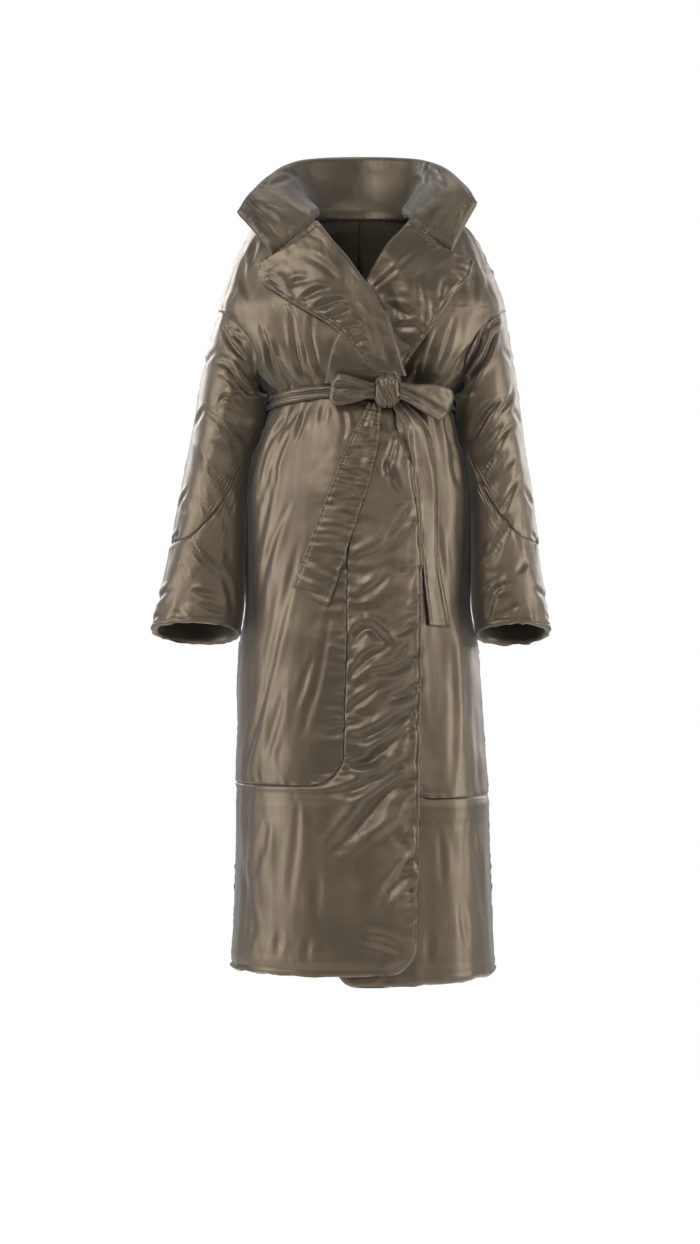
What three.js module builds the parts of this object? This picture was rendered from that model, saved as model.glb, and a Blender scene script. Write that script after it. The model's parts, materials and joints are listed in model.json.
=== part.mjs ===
// A long puffer coat with a tied belt, in the form it has when it is worn, and empty inside.
// Padded panels stand round an open hollow: a back, two fronts that wrap, two sleeves in two pieces each,
// a standing collar, two lapels and a belt with its knot, bow and tails.
// Millimetres. +X is the wearer's left, +Y the back, +Z up. The origin is at the base of the neck, between the
// shoulders that carry the coat. "right" and "left" are the wearer's.
import * as THREE from "three";

const RIGHT = -1;
const LEFT = 1;

// Padded walls. A wall is thick in the middle of its panel and pinched where it is sewn.
const WALL = 7;
const WALL_PUFF = 1.5;
const SEAM_DIP = 3;
const LAPEL_WALL = 6;
const COLLAR_WALL = 9;
const COLLAR_SEWN_WALL = 5;
const SEAM_GAP = 0.4;
const LAYER_GAP = 1;
const FACET_ROOM = 1.5;

// Levels, measured up from the neck.
const NECKLINE = 15;
const BELT_LEVEL = -285;
const BELT_RISE = 24;
const BELT_RISE_REACH = 100;
const RIGHT_HEM = -1116;
const RIGHT_HEM_SEAM = -838;
const LEFT_HEM = -1134;
const LEFT_HEM_AT_SIDE = -1122;
const LEFT_HEM_SEAM = -857;
const SEAM_CORNER_RADIUS = 50;
const HEM_CORNER_RADIUS = 45;

// The armhole is an oval on the body: its top is the dropped shoulder, its foot the armpit.
const ARMHOLE_TOP = -135;
const ARMHOLE_FOOT = -258;
const ARMHOLE_REACH_DEG = 36;
const ARMHOLE_STEPS = 16;

const BACK_COLUMNS = 26;
const FRONT_COLUMNS = 14;
const BAND_COLUMNS = 4;
const CORNER_STEPS = 6;
const SIDE_SEAM_DEG = 90;

const OLIVE = 0x6b6150;
const OLIVE_DARK = 0x5a5142;

// A table keyed by its first column. It gives every other column at any key, without overshoot.
function table(header, rows) {
  const names = header.split(" ").slice(1);
  const sorted = [...rows].sort((a, b) => a[0] - b[0]);
  const keys = sorted.map((row) => row[0]);
  const columns = names.map((_, c) => steadyCurve(keys, sorted.map((row) => row[c + 1])));
  return (key) => Object.fromEntries(names.map((name, c) => [name, columns[c](key)]));
}

// A cubic through all the values that keeps each rise and fall (Fritsch and Carlson's slopes).
function steadyCurve(keys, values) {
  const last = keys.length - 1;
  const rise = keys.slice(1).map((key, i) => (values[i + 1] - values[i]) / (key - keys[i]));
  const slope = values.map((_, i) => {
    if (i === 0) return rise[0];
    if (i === last) return rise[last - 1];
    const product = rise[i - 1] * rise[i];
    return product <= 0 ? 0 : (2 * product) / (rise[i - 1] + rise[i]);
  });
  return (key) => {
    const at = Math.min(Math.max(key, keys[0]), keys[last]);
    let i = 0;
    while (i < last - 1 && at > keys[i + 1]) i += 1;
    const span = keys[i + 1] - keys[i];
    const t = (at - keys[i]) / span;
    const start = values[i] * (1 + 2 * t) * (1 - t) ** 2 + slope[i] * span * t * (1 - t) ** 2;
    const end = values[i + 1] * t * t * (3 - 2 * t) - slope[i + 1] * span * t * t * (1 - t);
    return start + end;
  };
}

// Level sections of the outside of the coat: half widths to the right and left, half depths to the front and
// back, and the exponent of the superellipse that joins them.
const BODY = table("level right left front back square", [
  [-1140, 195, 203, 170, 166, 2.3],
  [-1110, 193, 201, 170, 166, 2.3],
  [-1000, 186, 196, 167, 163, 2.3],
  [-870, 184, 191, 165, 160, 2.3],
  [-720, 183, 182, 162, 157, 2.3],
  [-640, 180, 177, 160, 154, 2.3],
  [-570, 169, 163, 157, 151, 2.3],
  [-490, 170, 165, 153, 147, 2.3],
  [-420, 171, 165, 147, 141, 2.3],
  [-370, 165, 159, 139, 135, 2.3],
  [-330, 155, 152, 130, 128, 2.3],
  [-300, 143, 145, 121, 121, 2.3],
  [-285, 135, 137, 118, 118, 2.3],
  [-272, 139, 141, 121, 121, 2.3],
  [-258, 153, 155, 126, 125, 2.3],
  [-235, 169, 172, 130, 127, 2.3],
  [-196, 191, 196, 131, 126, 2.25],
  [-160, 205, 210, 129, 122, 2.2],
  [-135, 211, 216, 126, 118, 2.2],
  [-100, 200, 206, 120, 112, 2.1],
  [-60, 186, 190, 112, 105, 2.05],
  [-27, 170, 173, 101, 96, 2],
  [-10, 157, 160, 92, 88, 1.95],
  [0, 136, 137, 84, 82, 1.9],
  [8, 108, 108, 77, 76, 1.9],
  [15, 84, 84, 70, 70, 2],
]);

// Levels of the rows of the body panels, between the corner of the hem band and the armhole, and above it.
const SKIRT_LEVELS = [-700, -620, -550, -490, -435, -390, -350, -320, -300, -285, -270];
const SHOULDER_LEVELS = [-100, -60, -27, -8, 5, NECKLINE];

// The free edge of each front, as x at a height: the roll line down to the belt, then the edge to the hem.
const RIGHT_EDGE = table("z x", [
  [15, -68],
  [-13, -66],
  [-29, -55],
  [-68, -22],
  [-112, 8],
  [-151, 33],
  [-189, 46],
  [-242, 60],
  [-298, 71],
  [-387, 80],
  [-437, 88],
  [-510, 93],
  [-613, 92],
  [-847, 88],
  [-1071, 82],
]);
const LEFT_EDGE = table("z x", [
  [15, 70],
  [-13, 74],
  [-33, 60],
  [-72, 28],
  [-112, 6],
  [-163, -22],
  [-205, -40],
  [-246, -50],
  [-437, -50],
  [-847, -43],
  [-1135, -41],
]);

// The seam between each front and the band that runs down its edge, as x at a height.
const RIGHT_SEAM = table("z x", [
  [15, -83],
  [-13, -93],
  [-29, -86],
  [-68, -68],
  [-112, -38],
  [-151, -15],
  [-189, 0],
  [-242, 18],
  [-300, 18],
  [-350, 5],
  [-387, -8],
  [-437, -16],
  [-510, -19.6],
  [-613, -20],
  [-788, -24],
]);
const LEFT_SEAM = table("z x", [
  [15, 83],
  [-13, 98],
  [-72, 72],
  [-112, 50],
  [-163, 28],
  [-246, 12],
  [-300, 25],
  [-387, 45],
  [-613, 58],
  [-807, 60],
]);

const FRONTS = {
  right: {
    side: RIGHT,
    edge: RIGHT_EDGE,
    seam: RIGHT_SEAM,
    hem: RIGHT_HEM,
    hemAtSide: RIGHT_HEM,
    hemSeam: RIGHT_HEM_SEAM,
  },
  left: {
    side: LEFT,
    edge: LEFT_EDGE,
    seam: LEFT_SEAM,
    hem: LEFT_HEM,
    hemAtSide: LEFT_HEM_AT_SIDE,
    hemSeam: LEFT_HEM_SEAM,
  },
};

// Gathers that the belt makes in the cloth, above and below it: the angle round the body where each starts, how
// far it leans as it runs out, its length and its depth. They are troughs between soft ridges.
const GATHERS_ABOVE = [
  { angle: -61, lean: -3, reach: 62, depth: 6 },
  { angle: -44, lean: 6, reach: 100, depth: 7 },
  { angle: -25, lean: -5, reach: 120, depth: 7 },
  { angle: -15, lean: -5, reach: 105, depth: 5 },
  { angle: 25, lean: -1, reach: 72, depth: 5 },
  { angle: 37, lean: -5, reach: 105, depth: 7 },
  { angle: 50, lean: -1, reach: 70, depth: 6 },
  { angle: 64, lean: 4, reach: 64, depth: 5 },
  { angle: 112, lean: 3, reach: 70, depth: 5 },
  { angle: 130, lean: 2, reach: 105, depth: 6 },
  { angle: 151, lean: 2, reach: 80, depth: 5 },
  { angle: 173, lean: 1, reach: 115, depth: 6 },
  { angle: 194, lean: -2, reach: 85, depth: 6 },
  { angle: 216, lean: -2, reach: 105, depth: 5 },
  { angle: 240, lean: -3, reach: 75, depth: 6 },
];
const GATHERS_BELOW = [
  { angle: -72, lean: -6, reach: 100, depth: 5 },
  { angle: -57, lean: -12, reach: 120, depth: 6 },
  { angle: -43, lean: -12, reach: 150, depth: 7 },
  { angle: -28, lean: -4, reach: 70, depth: 5 },
  { angle: 46, lean: 3, reach: 90, depth: 5 },
  { angle: 58, lean: 5, reach: 130, depth: 7 },
  { angle: 72, lean: 5, reach: 100, depth: 5 },
  { angle: 108, lean: -2, reach: 110, depth: 5 },
  { angle: 126, lean: -3, reach: 150, depth: 6 },
  { angle: 146, lean: 2, reach: 90, depth: 5 },
  { angle: 167, lean: -1, reach: 150, depth: 6 },
  { angle: 189, lean: 2, reach: 100, depth: 6 },
  { angle: 211, lean: -2, reach: 145, depth: 5 },
  { angle: 233, lean: 3, reach: 105, depth: 6 },
  { angle: 252, lean: 2, reach: 130, depth: 5 },
];
const GATHER_HALF_WIDTH_DEG = 4.5;
const GATHER_RIDGE = 2;
// What lies on a panel clears its puff and the ridges of its gathers.
const ON_PANEL = WALL_PUFF + GATHER_RIDGE + LAYER_GAP;

const degrees = THREE.MathUtils.degToRad;
const mix = THREE.MathUtils.lerp;

function smooth(value) {
  const t = Math.min(Math.max(value, 0), 1);
  return t * t * (3 - 2 * t);
}

function hump(value) {
  return Math.abs(value) < 1 ? (1 - value * value) ** 2 : 0;
}

function signedPower(value, power) {
  return Math.sign(value) * Math.abs(value) ** power;
}

// How far the belt line lifts the front of the coat at a level. It fades to nothing at the sides.
function liftAt(level) {
  return BELT_RISE * hump((level - BELT_LEVEL) / BELT_RISE_REACH);
}

// A point on the outside of the body. theta is in degrees from the middle of the front, towards the left side.
function bodyPoint(theta, level) {
  const row = BODY(level);
  const across = Math.sin(degrees(theta));
  const along = Math.cos(degrees(theta));
  const half = across > 0 ? row.left : row.right;
  const deep = along > 0 ? row.front : row.back;
  return new THREE.Vector3(
    half * signedPower(across, 2 / row.square),
    -deep * signedPower(along, 2 / row.square),
    level + liftAt(level) * Math.max(0, along),
  );
}

function bodyNormal(theta, level) {
  const step = 0.7;
  const around = bodyPoint(theta + step, level).sub(bodyPoint(theta - step, level));
  const up = bodyPoint(theta, level + step).sub(bodyPoint(theta, level - step));
  return around.cross(up).normalize();
}

function offBody(theta, level, out) {
  return bodyPoint(theta, level).addScaledVector(bodyNormal(theta, level), out);
}

// The place on the body that is seen at x and z from the front.
function onFront(x, z) {
  let level = z;
  let theta = 0;
  for (let turn = 0; turn < 6; turn += 1) {
    const row = BODY(level);
    const share = Math.min(1, Math.abs(x) / (x > 0 ? row.left : row.right));
    theta = Math.sign(x) * THREE.MathUtils.radToDeg(Math.asin(share ** (row.square / 2)));
    level = z - liftAt(level) * Math.cos(degrees(theta));
  }
  return { theta, level };
}

function angleBetween(a, b) {
  return Math.abs(((((a - b) % 360) + 540) % 360) - 180);
}

// How far the gathers move the wall out, or in where it is negative.
function gather(theta, level) {
  const above = level > BELT_LEVEL;
  const distance = Math.abs(level - BELT_LEVEL);
  let ridge = 0;
  let trough = 0;
  for (const fold of above ? GATHERS_ABOVE : GATHERS_BELOW) {
    const run = distance / fold.reach;
    if (run >= 1) continue;
    const grown = smooth(run / 0.3) * (1 - run);
    const aside = angleBetween(theta, fold.angle + fold.lean * run) / GATHER_HALF_WIDTH_DEG;
    ridge = Math.max(ridge, grown * GATHER_RIDGE * Math.exp(-((aside / 2.5) ** 2)));
    trough = Math.max(trough, grown * (fold.depth + GATHER_RIDGE) * Math.exp(-aside * aside));
  }
  return ridge - trough;
}

// How deep the left front lies below the surface, under the right front that wraps over it.
function tuckedUnder(x, z) {
  const shallow = WALL + ON_PANEL;
  const deep = shallow + LAPEL_WALL + LAYER_GAP + FACET_ROOM;
  const most = mix(shallow, deep, smooth((z + 300) / 50));
  return most * (1 - smooth((x - RIGHT_EDGE(z).x - 10) / 56));
}

// Closes an outer and an inner grid of points into one wall. A ring wraps round in its first direction.
function closedWall(name, outer, inner, { ring = false, color = OLIVE } = {}) {
  const columns = outer.length;
  const rows = outer[0].length;
  const positions = [...outer.flat(), ...inner.flat()].flatMap((p) => [p.x, p.y, p.z]);
  const at = (layer, i, j) => layer * columns * rows + (i % columns) * rows + j;
  const faces = [];
  const quad = (a, b, c, d) => faces.push(a, b, c, a, c, d);
  const spans = ring ? columns : columns - 1;
  for (let i = 0; i < spans; i += 1) {
    for (let j = 0; j < rows - 1; j += 1) {
      quad(at(0, i, j), at(0, i + 1, j), at(0, i + 1, j + 1), at(0, i, j + 1));
      quad(at(1, i, j), at(1, i, j + 1), at(1, i + 1, j + 1), at(1, i + 1, j));
    }
    quad(at(0, i, 0), at(1, i, 0), at(1, i + 1, 0), at(0, i + 1, 0));
    quad(at(0, i, rows - 1), at(0, i + 1, rows - 1), at(1, i + 1, rows - 1), at(1, i, rows - 1));
  }
  for (let j = 0; j < rows - 1 && !ring; j += 1) {
    const end = columns - 1;
    quad(at(0, 0, j), at(0, 0, j + 1), at(1, 0, j + 1), at(1, 0, j));
    quad(at(0, end, j), at(1, end, j), at(1, end, j + 1), at(0, end, j + 1));
  }
  return solid(name, positions, faces, color);
}

// Makes the mesh, with its faces turned to point outwards.
function solid(name, positions, faces, color) {
  const point = (i) => new THREE.Vector3().fromArray(positions, 3 * i);
  let volume = 0;
  for (let f = 0; f < faces.length; f += 3) {
    volume += point(faces[f]).dot(point(faces[f + 1]).cross(point(faces[f + 2])));
  }
  const index = volume < 0 ? [...faces].reverse() : faces;
  const geometry = new THREE.BufferGeometry();
  geometry.setAttribute("position", new THREE.Float32BufferAttribute(positions, 3));
  geometry.setIndex(index);
  geometry.computeVertexNormals();
  const material = new THREE.MeshStandardMaterial({ color, roughness: 0.42, metalness: 0.1 });
  const mesh = new THREE.Mesh(geometry, material);
  mesh.name = name;
  return mesh;
}

// Draws the rim of a grid in by half a seam gap, so that neighbouring panels never touch.
function parted(grid, { ring = false } = {}) {
  const columns = grid.length;
  const rows = grid[0].length;
  const moved = grid.map((line) => line.map((p) => p.clone()));
  for (let i = 0; i < columns; i += 1) {
    for (let j = 0; j < rows; j += 1) {
      const onEnd = !ring && (i === 0 || i === columns - 1);
      const onRow = j === 0 || j === rows - 1;
      if (!onEnd && !onRow) continue;
      const beside = onEnd ? (i === 0 ? 1 : columns - 2) : i;
      const beyond = onRow ? (j === 0 ? 1 : rows - 2) : j;
      const inward = grid[beside][beyond].clone().sub(grid[i][j]);
      const share = onEnd && onRow ? 0.8 : 0.5;
      moved[i][j].addScaledVector(inward.normalize(), SEAM_GAP * share);
    }
  }
  return moved;
}

// A point round the armhole: phi is 0 at the dropped shoulder, 90 at the front and 180 at the armpit.
function armholePlace(side, phi) {
  const middle = (ARMHOLE_TOP + ARMHOLE_FOOT) / 2;
  const half = (ARMHOLE_TOP - ARMHOLE_FOOT) / 2;
  return {
    theta: side * (SIDE_SEAM_DEG - ARMHOLE_REACH_DEG * Math.sin(degrees(phi))),
    level: middle + half * Math.cos(degrees(phi)),
    phi,
  };
}

// The two sides of the sewn edge of the armhole, mitred between the body and the sleeve.
function armholeRim(side, phi) {
  const { theta, level } = armholePlace(side, phi);
  const fromBody = bodyNormal(theta, level);
  const outer = bodyPoint(theta, level).addScaledVector(fromBody, -SEAM_DIP / 2);
  const fromSleeve = sleeveNormal(side, phi, 0.06);
  const miter = fromBody.clone().add(fromSleeve).normalize();
  const inner = outer.clone().addScaledVector(miter, -WALL);
  return { outer, inner };
}

// Sections of each sleeve from the shoulder to the cuff: the outer and inner points of its outline from the front,
// its half depth, its middle's y, how far its front and back bow towards the body, and the tilt of the section.
const SLEEVE_HEADER = "t outX outZ inX inZ depth mid bow tilt";
const SLEEVES = {
  [RIGHT]: table(SLEEVE_HEADER, [
    [0, 211, -135, 153, -258, 75, 2, 22, 0],
    [0.08, 222, -172, 157, -269, 77, 2, 14, 0],
    [0.18, 234, -222, 156, -287, 77, 0, 6, 0],
    [0.3, 243, -280, 157, -314, 75, -2, 2, 0],
    [0.43, 254, -345, 170, -354, 72, -6, 0, 2],
    [0.54, 264, -400, 179, -402, 70, -14, 0, 4],
    [0.65, 275, -455, 177, -455, 68, -24, 0, 7],
    [0.77, 286, -512, 176, -510, 66, -34, 0, 10],
    [0.89, 297, -565, 176, -567, 63, -46, 0, 14],
    [1, 309, -616, 178, -621, 58, -58, 0, 17],
  ]),
  [LEFT]: table(SLEEVE_HEADER, [
    [0, 216, -135, 155, -258, 75, 2, 22, 0],
    [0.08, 223, -172, 159, -269, 77, 2, 14, 0],
    [0.18, 230, -222, 158, -287, 77, 0, 6, 0],
    [0.3, 237, -280, 157, -314, 75, -2, 2, 0],
    [0.43, 245, -345, 164, -354, 72, -6, 0, 2],
    [0.54, 254, -400, 169, -402, 70, -12, 0, 4],
    [0.65, 261, -455, 171, -455, 68, -22, 0, 7],
    [0.77, 267, -512, 170, -510, 66, -32, 0, 10],
    [0.89, 275, -565, 169, -567, 63, -44, 0, 14],
    [1, 282, -618, 170, -622, 58, -56, 0, 17],
  ]),
};

// Folds of the sleeves, mostly at the inside of the elbow: where each lies round and along the sleeve, how it
// slants, its half length and half width as shares, and its depth.
const SLEEVE_FOLDS = [
  { phi: 62, t: 0.17, slant: 190, long: 0.11, wide: 14, depth: 5 },
  { phi: 80, t: 0.27, slant: 210, long: 0.1, wide: 13, depth: 6 },
  { phi: 96, t: 0.38, slant: 170, long: 0.09, wide: 12, depth: 5 },
  { phi: 88, t: 0.74, slant: 200, long: 0.08, wide: 12, depth: 5 },
  { phi: 268, t: 0.36, slant: -190, long: 0.1, wide: 14, depth: 5 },
  { phi: 282, t: 0.5, slant: -170, long: 0.1, wide: 13, depth: 4 },
];

function sleeveFold(phi, t) {
  let height = 0;
  for (const fold of SLEEVE_FOLDS) {
    const along = (t - fold.t) / fold.long;
    const aside = (phi - fold.phi - fold.slant * (t - fold.t)) / fold.wide;
    height -= fold.depth * hump(along) * Math.exp(-aside * aside);
  }
  return height;
}

// A point on the outside of a sleeve, round from the outer side (0) over the front (90) to the body (180).
function sleevePoint(side, phi, t) {
  const row = SLEEVES[side](t);
  const turn = degrees(phi);
  const across = Math.cos(turn);
  const forward = Math.sin(turn);
  const x = mix(row.outX, row.inX, (1 - across) / 2) - row.bow * forward * forward;
  const point = new THREE.Vector3(
    side * x,
    row.mid - row.depth * forward,
    mix(row.outZ, row.inZ, (1 - across) / 2) + row.tilt * forward,
  );
  const shoulder = 0.05;
  if (t >= shoulder) return point;
  const place = armholePlace(side, phi);
  return bodyPoint(place.theta, place.level).lerp(point, smooth(t / shoulder));
}

function sleeveNormal(side, phi, t) {
  const step = 2;
  const tiny = 0.01;
  const around = sleevePoint(side, phi + step, t).sub(sleevePoint(side, phi - step, t));
  const down = sleevePoint(side, phi, t + tiny).sub(sleevePoint(side, phi, t - tiny));
  return around.cross(down).multiplyScalar(side).normalize();
}

// The seam between the two pieces of a sleeve: low on the outer side, and higher on the side of the body.
function sleeveSeam(phi) {
  return 0.715 - 0.44 * ((1 - Math.cos(degrees(phi))) / 2) ** 3;
}

// The outer and inner points of a wall off a sleeve.
function sleeveWall(side, phi, t, rise) {
  const normal = sleeveNormal(side, phi, t);
  const fold = sleeveFold(phi, t);
  const point = sleevePoint(side, phi, t);
  return {
    outer: point.clone().addScaledVector(normal, fold + rise),
    inner: point.clone().addScaledVector(normal, fold - WALL),
  };
}

// How far along the sleeve its first section stands, so that its wall clears the body's beside the armhole.
const ARMHOLE_CLEARANCE = 0.07;

function sleevePiece(name, side, rows, fromT, toT, startsAtArmhole) {
  const outer = [];
  const inner = [];
  for (let i = 0; i < ARMHOLE_STEPS; i += 1) {
    const phi = (360 * i) / ARMHOLE_STEPS;
    outer.push([]);
    inner.push([]);
    for (let j = 0; j <= rows; j += 1) {
      const first = Math.max(ARMHOLE_CLEARANCE, toT(phi) / rows);
      const even = mix(fromT(phi), toT(phi), j / rows);
      const t = startsAtArmhole && j > 0 ? mix(first, toT(phi), (j - 1) / (rows - 1)) : even;
      const sewn = j === 0 || j === rows;
      const rim = startsAtArmhole && j === 0;
      const wall = rim ? armholeRim(side, phi) : sleeveWall(side, phi, t, sewn ? -SEAM_DIP : WALL_PUFF);
      outer[i].push(wall.outer);
      inner[i].push(wall.inner);
    }
  }
  return closedWall(name, parted(outer, { ring: true }), parted(inner, { ring: true }), { ring: true });
}

function sleeve(name, side) {
  const group = new THREE.Group();
  group.add(sleevePiece(`${name}_sleeve_upper`, side, 8, () => 0, sleeveSeam, true));
  group.add(sleevePiece(`${name}_sleeve_lower`, side, 4, sleeveSeam, () => 1, false));
  return group;
}

// A body panel from its ribs. Each rib runs from one place on the body to another, with the same columns in all.
function bodyPanel(name, ribs, columns, depthBelow = () => 0) {
  const outer = [];
  const inner = [];
  for (let i = 0; i <= columns; i += 1) {
    outer.push([]);
    inner.push([]);
    ribs.forEach((rib, j) => {
      const share = i / columns;
      const theta = mix(rib.from.theta, rib.to.theta, share);
      const level = mix(rib.from.level, rib.to.level, share);
      const end = i === 0 ? rib.from : i === columns ? rib.to : {};
      if (end.phi !== undefined) {
        const rim = armholeRim(end.side, end.phi);
        outer[i].push(rim.outer);
        inner[i].push(rim.inner);
        return;
      }
      const sewn = i === 0 || i === columns || j === 0 || j === ribs.length - 1;
      const point = bodyPoint(theta, level);
      const moved = gather(theta, level) - depthBelow(point.x, point.z);
      const pinch = 1 - 0.8 * hump((level - BELT_LEVEL) / 30);
      outer[i].push(offBody(theta, level, moved + (sewn ? -SEAM_DIP : WALL_PUFF * pinch)));
      inner[i].push(offBody(theta, level, moved - WALL));
    });
  }
  return closedWall(name, parted(outer), parted(inner));
}

// The places where a panel meets the side seam, the armhole and the shoulder seam, from the armpit up.
function armholePlaces(side, back) {
  const places = [];
  for (let step = ARMHOLE_STEPS / 2; step >= 0; step -= 1) {
    const phi = (360 * step) / ARMHOLE_STEPS;
    const place = armholePlace(side, back ? 360 - phi : phi);
    places.push({ ...place, side });
  }
  return places;
}

function frontPlace(curve, level) {
  const z = level + liftAt(level);
  return onFront(curve(z).x, z);
}

// The rounded corner of the seam between a front and its band, from the upright seam to the level one.
function seamCorner(front) {
  const foot = front.hemSeam + SEAM_CORNER_RADIUS;
  const middle = front.seam(foot).x + front.side * SEAM_CORNER_RADIUS;
  return Array.from({ length: CORNER_STEPS + 1 }, (_, step) => {
    const turn = degrees((90 * step) / CORNER_STEPS);
    const x = middle - front.side * SEAM_CORNER_RADIUS * Math.cos(turn);
    return onFront(x, foot - SEAM_CORNER_RADIUS * Math.sin(turn));
  });
}

// The free edge beside the seam's corner: down, and round the corner of the hem.
function hemCorner(front) {
  const start = front.hemSeam + SEAM_CORNER_RADIUS;
  const foot = front.hem + HEM_CORNER_RADIUS;
  const middle = front.edge(foot).x + front.side * HEM_CORNER_RADIUS;
  const half = CORNER_STEPS / 2;
  return Array.from({ length: CORNER_STEPS + 1 }, (_, step) => {
    if (step < half) {
      const z = mix(start, foot, step / half);
      return onFront(front.edge(z).x, z);
    }
    const turn = degrees((90 * (step - half)) / half);
    const x = middle - front.side * HEM_CORNER_RADIUS * Math.cos(turn);
    return onFront(x, foot - HEM_CORNER_RADIUS * Math.sin(turn));
  });
}

function frontPanels(name, front, depthBelow) {
  const { side } = front;
  const atSide = (level) => ({ theta: side * SIDE_SEAM_DEG, level });
  const corner = seamCorner(front);
  const cornerTop = front.hemSeam + SEAM_CORNER_RADIUS;
  const upright = [
    ...SKIRT_LEVELS.map(atSide),
    ...armholePlaces(side, false),
    ...SHOULDER_LEVELS.map(atSide),
  ];
  const mainRibs = corner.map((place, step) => {
    const level = mix(cornerTop, front.hemSeam, step / CORNER_STEPS);
    return { from: atSide(level), to: place };
  });
  mainRibs.reverse();
  upright.forEach((from) => mainRibs.push({ from, to: frontPlace(front.seam, from.level) }));

  const bandRibs = [...upright]
    .reverse()
    .map(({ level }) => ({ from: frontPlace(front.seam, level), to: frontPlace(front.edge, level) }));
  const cornerEnd = corner[CORNER_STEPS];
  const edge = hemCorner(front);
  corner.forEach((from, step) => bandRibs.push({ from, to: edge[step] }));
  const edgeEnd = edge[CORNER_STEPS];
  for (let step = 1; step <= FRONT_COLUMNS; step += 1) {
    const share = step / FRONT_COLUMNS;
    bandRibs.push({
      from: { theta: mix(cornerEnd.theta, side * SIDE_SEAM_DEG, share), level: front.hemSeam },
      to: {
        theta: mix(edgeEnd.theta, side * SIDE_SEAM_DEG, share),
        level: mix(front.hem, front.hemAtSide, share),
      },
    });
  }
  bandRibs.reverse();
  const group = new THREE.Group();
  group.add(bodyPanel(`${name}_front`, mainRibs, FRONT_COLUMNS, depthBelow));
  group.add(bodyPanel(`${name}_front_band`, bandRibs, BAND_COLUMNS, depthBelow));
  return group;
}

function backPanels() {
  const leftSide = SIDE_SEAM_DEG;
  const rightSide = 360 - SIDE_SEAM_DEG;
  const rib = (leftLevel, rightLevel) => ({
    from: { theta: leftSide, level: leftLevel },
    to: { theta: rightSide, level: rightLevel },
  });
  const leftArmhole = armholePlaces(LEFT, true);
  const rightArmhole = armholePlaces(RIGHT, true).map((place) => ({ ...place, theta: place.theta + 360 }));
  const mainRibs = [
    rib(LEFT_HEM_SEAM, RIGHT_HEM_SEAM),
    rib(-780, -770),
    ...SKIRT_LEVELS.map((level) => rib(level, level)),
    ...leftArmhole.map((from, step) => ({ from, to: rightArmhole[step] })),
    ...SHOULDER_LEVELS.map((level) => rib(level, level)),
  ];
  const hemRibs = [0, 0.12, 0.5, 0.88, 1].map((share) =>
    rib(mix(LEFT_HEM_AT_SIDE, LEFT_HEM_SEAM, share), mix(RIGHT_HEM, RIGHT_HEM_SEAM, share)),
  );
  const middle = ({ from, to }) => ({ theta: mix(from.theta, to.theta, 0.5), level: mix(from.level, to.level, 0.5) });
  const leftRibs = mainRibs.map((whole) => ({ from: whole.from, to: middle(whole) }));
  const rightRibs = mainRibs.map((whole) => ({ from: middle(whole), to: whole.to }));
  const group = new THREE.Group();
  group.add(bodyPanel("back_left", leftRibs, BACK_COLUMNS / 2));
  group.add(bodyPanel("back_right", rightRibs, BACK_COLUMNS / 2));
  group.add(bodyPanel("back_hem_band", hemRibs, BACK_COLUMNS));
  return group;
}

// Each lapel from the belt to the collar: its fold (the roll line) and its outer edge as seen from the front,
// and how far its edge stands off the chest.
const LAPEL_HEADER = "t rollX rollZ edgeX edgeZ lift";
const LAPELS = {
  right: table(LAPEL_HEADER, [
    [0, 62, -237, 22, -232, 0],
    [0.1, 57, -223, 4, -219, 1],
    [0.22, 50, -201, -15, -196, 2],
    [0.36, 40, -168, -42, -168, 3],
    [0.5, 24, -136, -78, -146, 4],
    [0.64, 2, -103, -112, -125, 5],
    [0.78, -24, -66, -143, -97, 7],
    [0.88, -44, -42, -142, -80, 8],
    [1, -65, -15, -121, -65, 6],
  ]),
  left: table(LAPEL_HEADER, [
    [0, -48, -248, 56, -246, 0],
    [0.2, -38, -203, 80, -205, 1],
    [0.38, -20, -160, 104, -167, 2],
    [0.54, 0, -124, 131, -126, 4],
    [0.7, 22, -82, 155, -92, 6],
    [0.84, 46, -46, 158, -74, 8],
    [0.93, 60, -31, 144, -68, 8],
    [1, 73, -15, 126, -62, 6],
  ]),
};
const LAPEL_ROWS = 13;
const LAPEL_COLUMNS = 7;
const LAPEL_DIP = 2;

// The two faces of a lapel at a share of the way from its roll line to its edge, at t up its length.
function lapelWall(rows, depthBelow, t, share, sewn) {
  const row = rows(t);
  const x = mix(row.rollX, row.edgeX, share);
  const z = mix(row.rollZ, row.edgeZ, share);
  const { theta, level } = onFront(x, z);
  const rest = ON_PANEL + row.lift * share * share - depthBelow(x, z);
  return {
    outer: offBody(theta, level, rest + LAPEL_WALL - (sewn ? LAPEL_DIP : 0)),
    inner: offBody(theta, level, rest),
  };
}

// A lapel lies on its front, folded back along the roll line.
function lapel(name, rows, depthBelow) {
  const outer = [];
  const inner = [];
  for (let i = 0; i <= LAPEL_COLUMNS; i += 1) {
    outer.push([]);
    inner.push([]);
    for (let j = 0; j <= LAPEL_ROWS; j += 1) {
      const sewn = i === 0 || i === LAPEL_COLUMNS || j === 0 || j === LAPEL_ROWS;
      const wall = lapelWall(rows, depthBelow, j / LAPEL_ROWS, i / LAPEL_COLUMNS, sewn);
      outer[i].push(wall.outer);
      inner[i].push(wall.inner);
    }
  }
  return closedWall(name, outer, inner);
}

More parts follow.
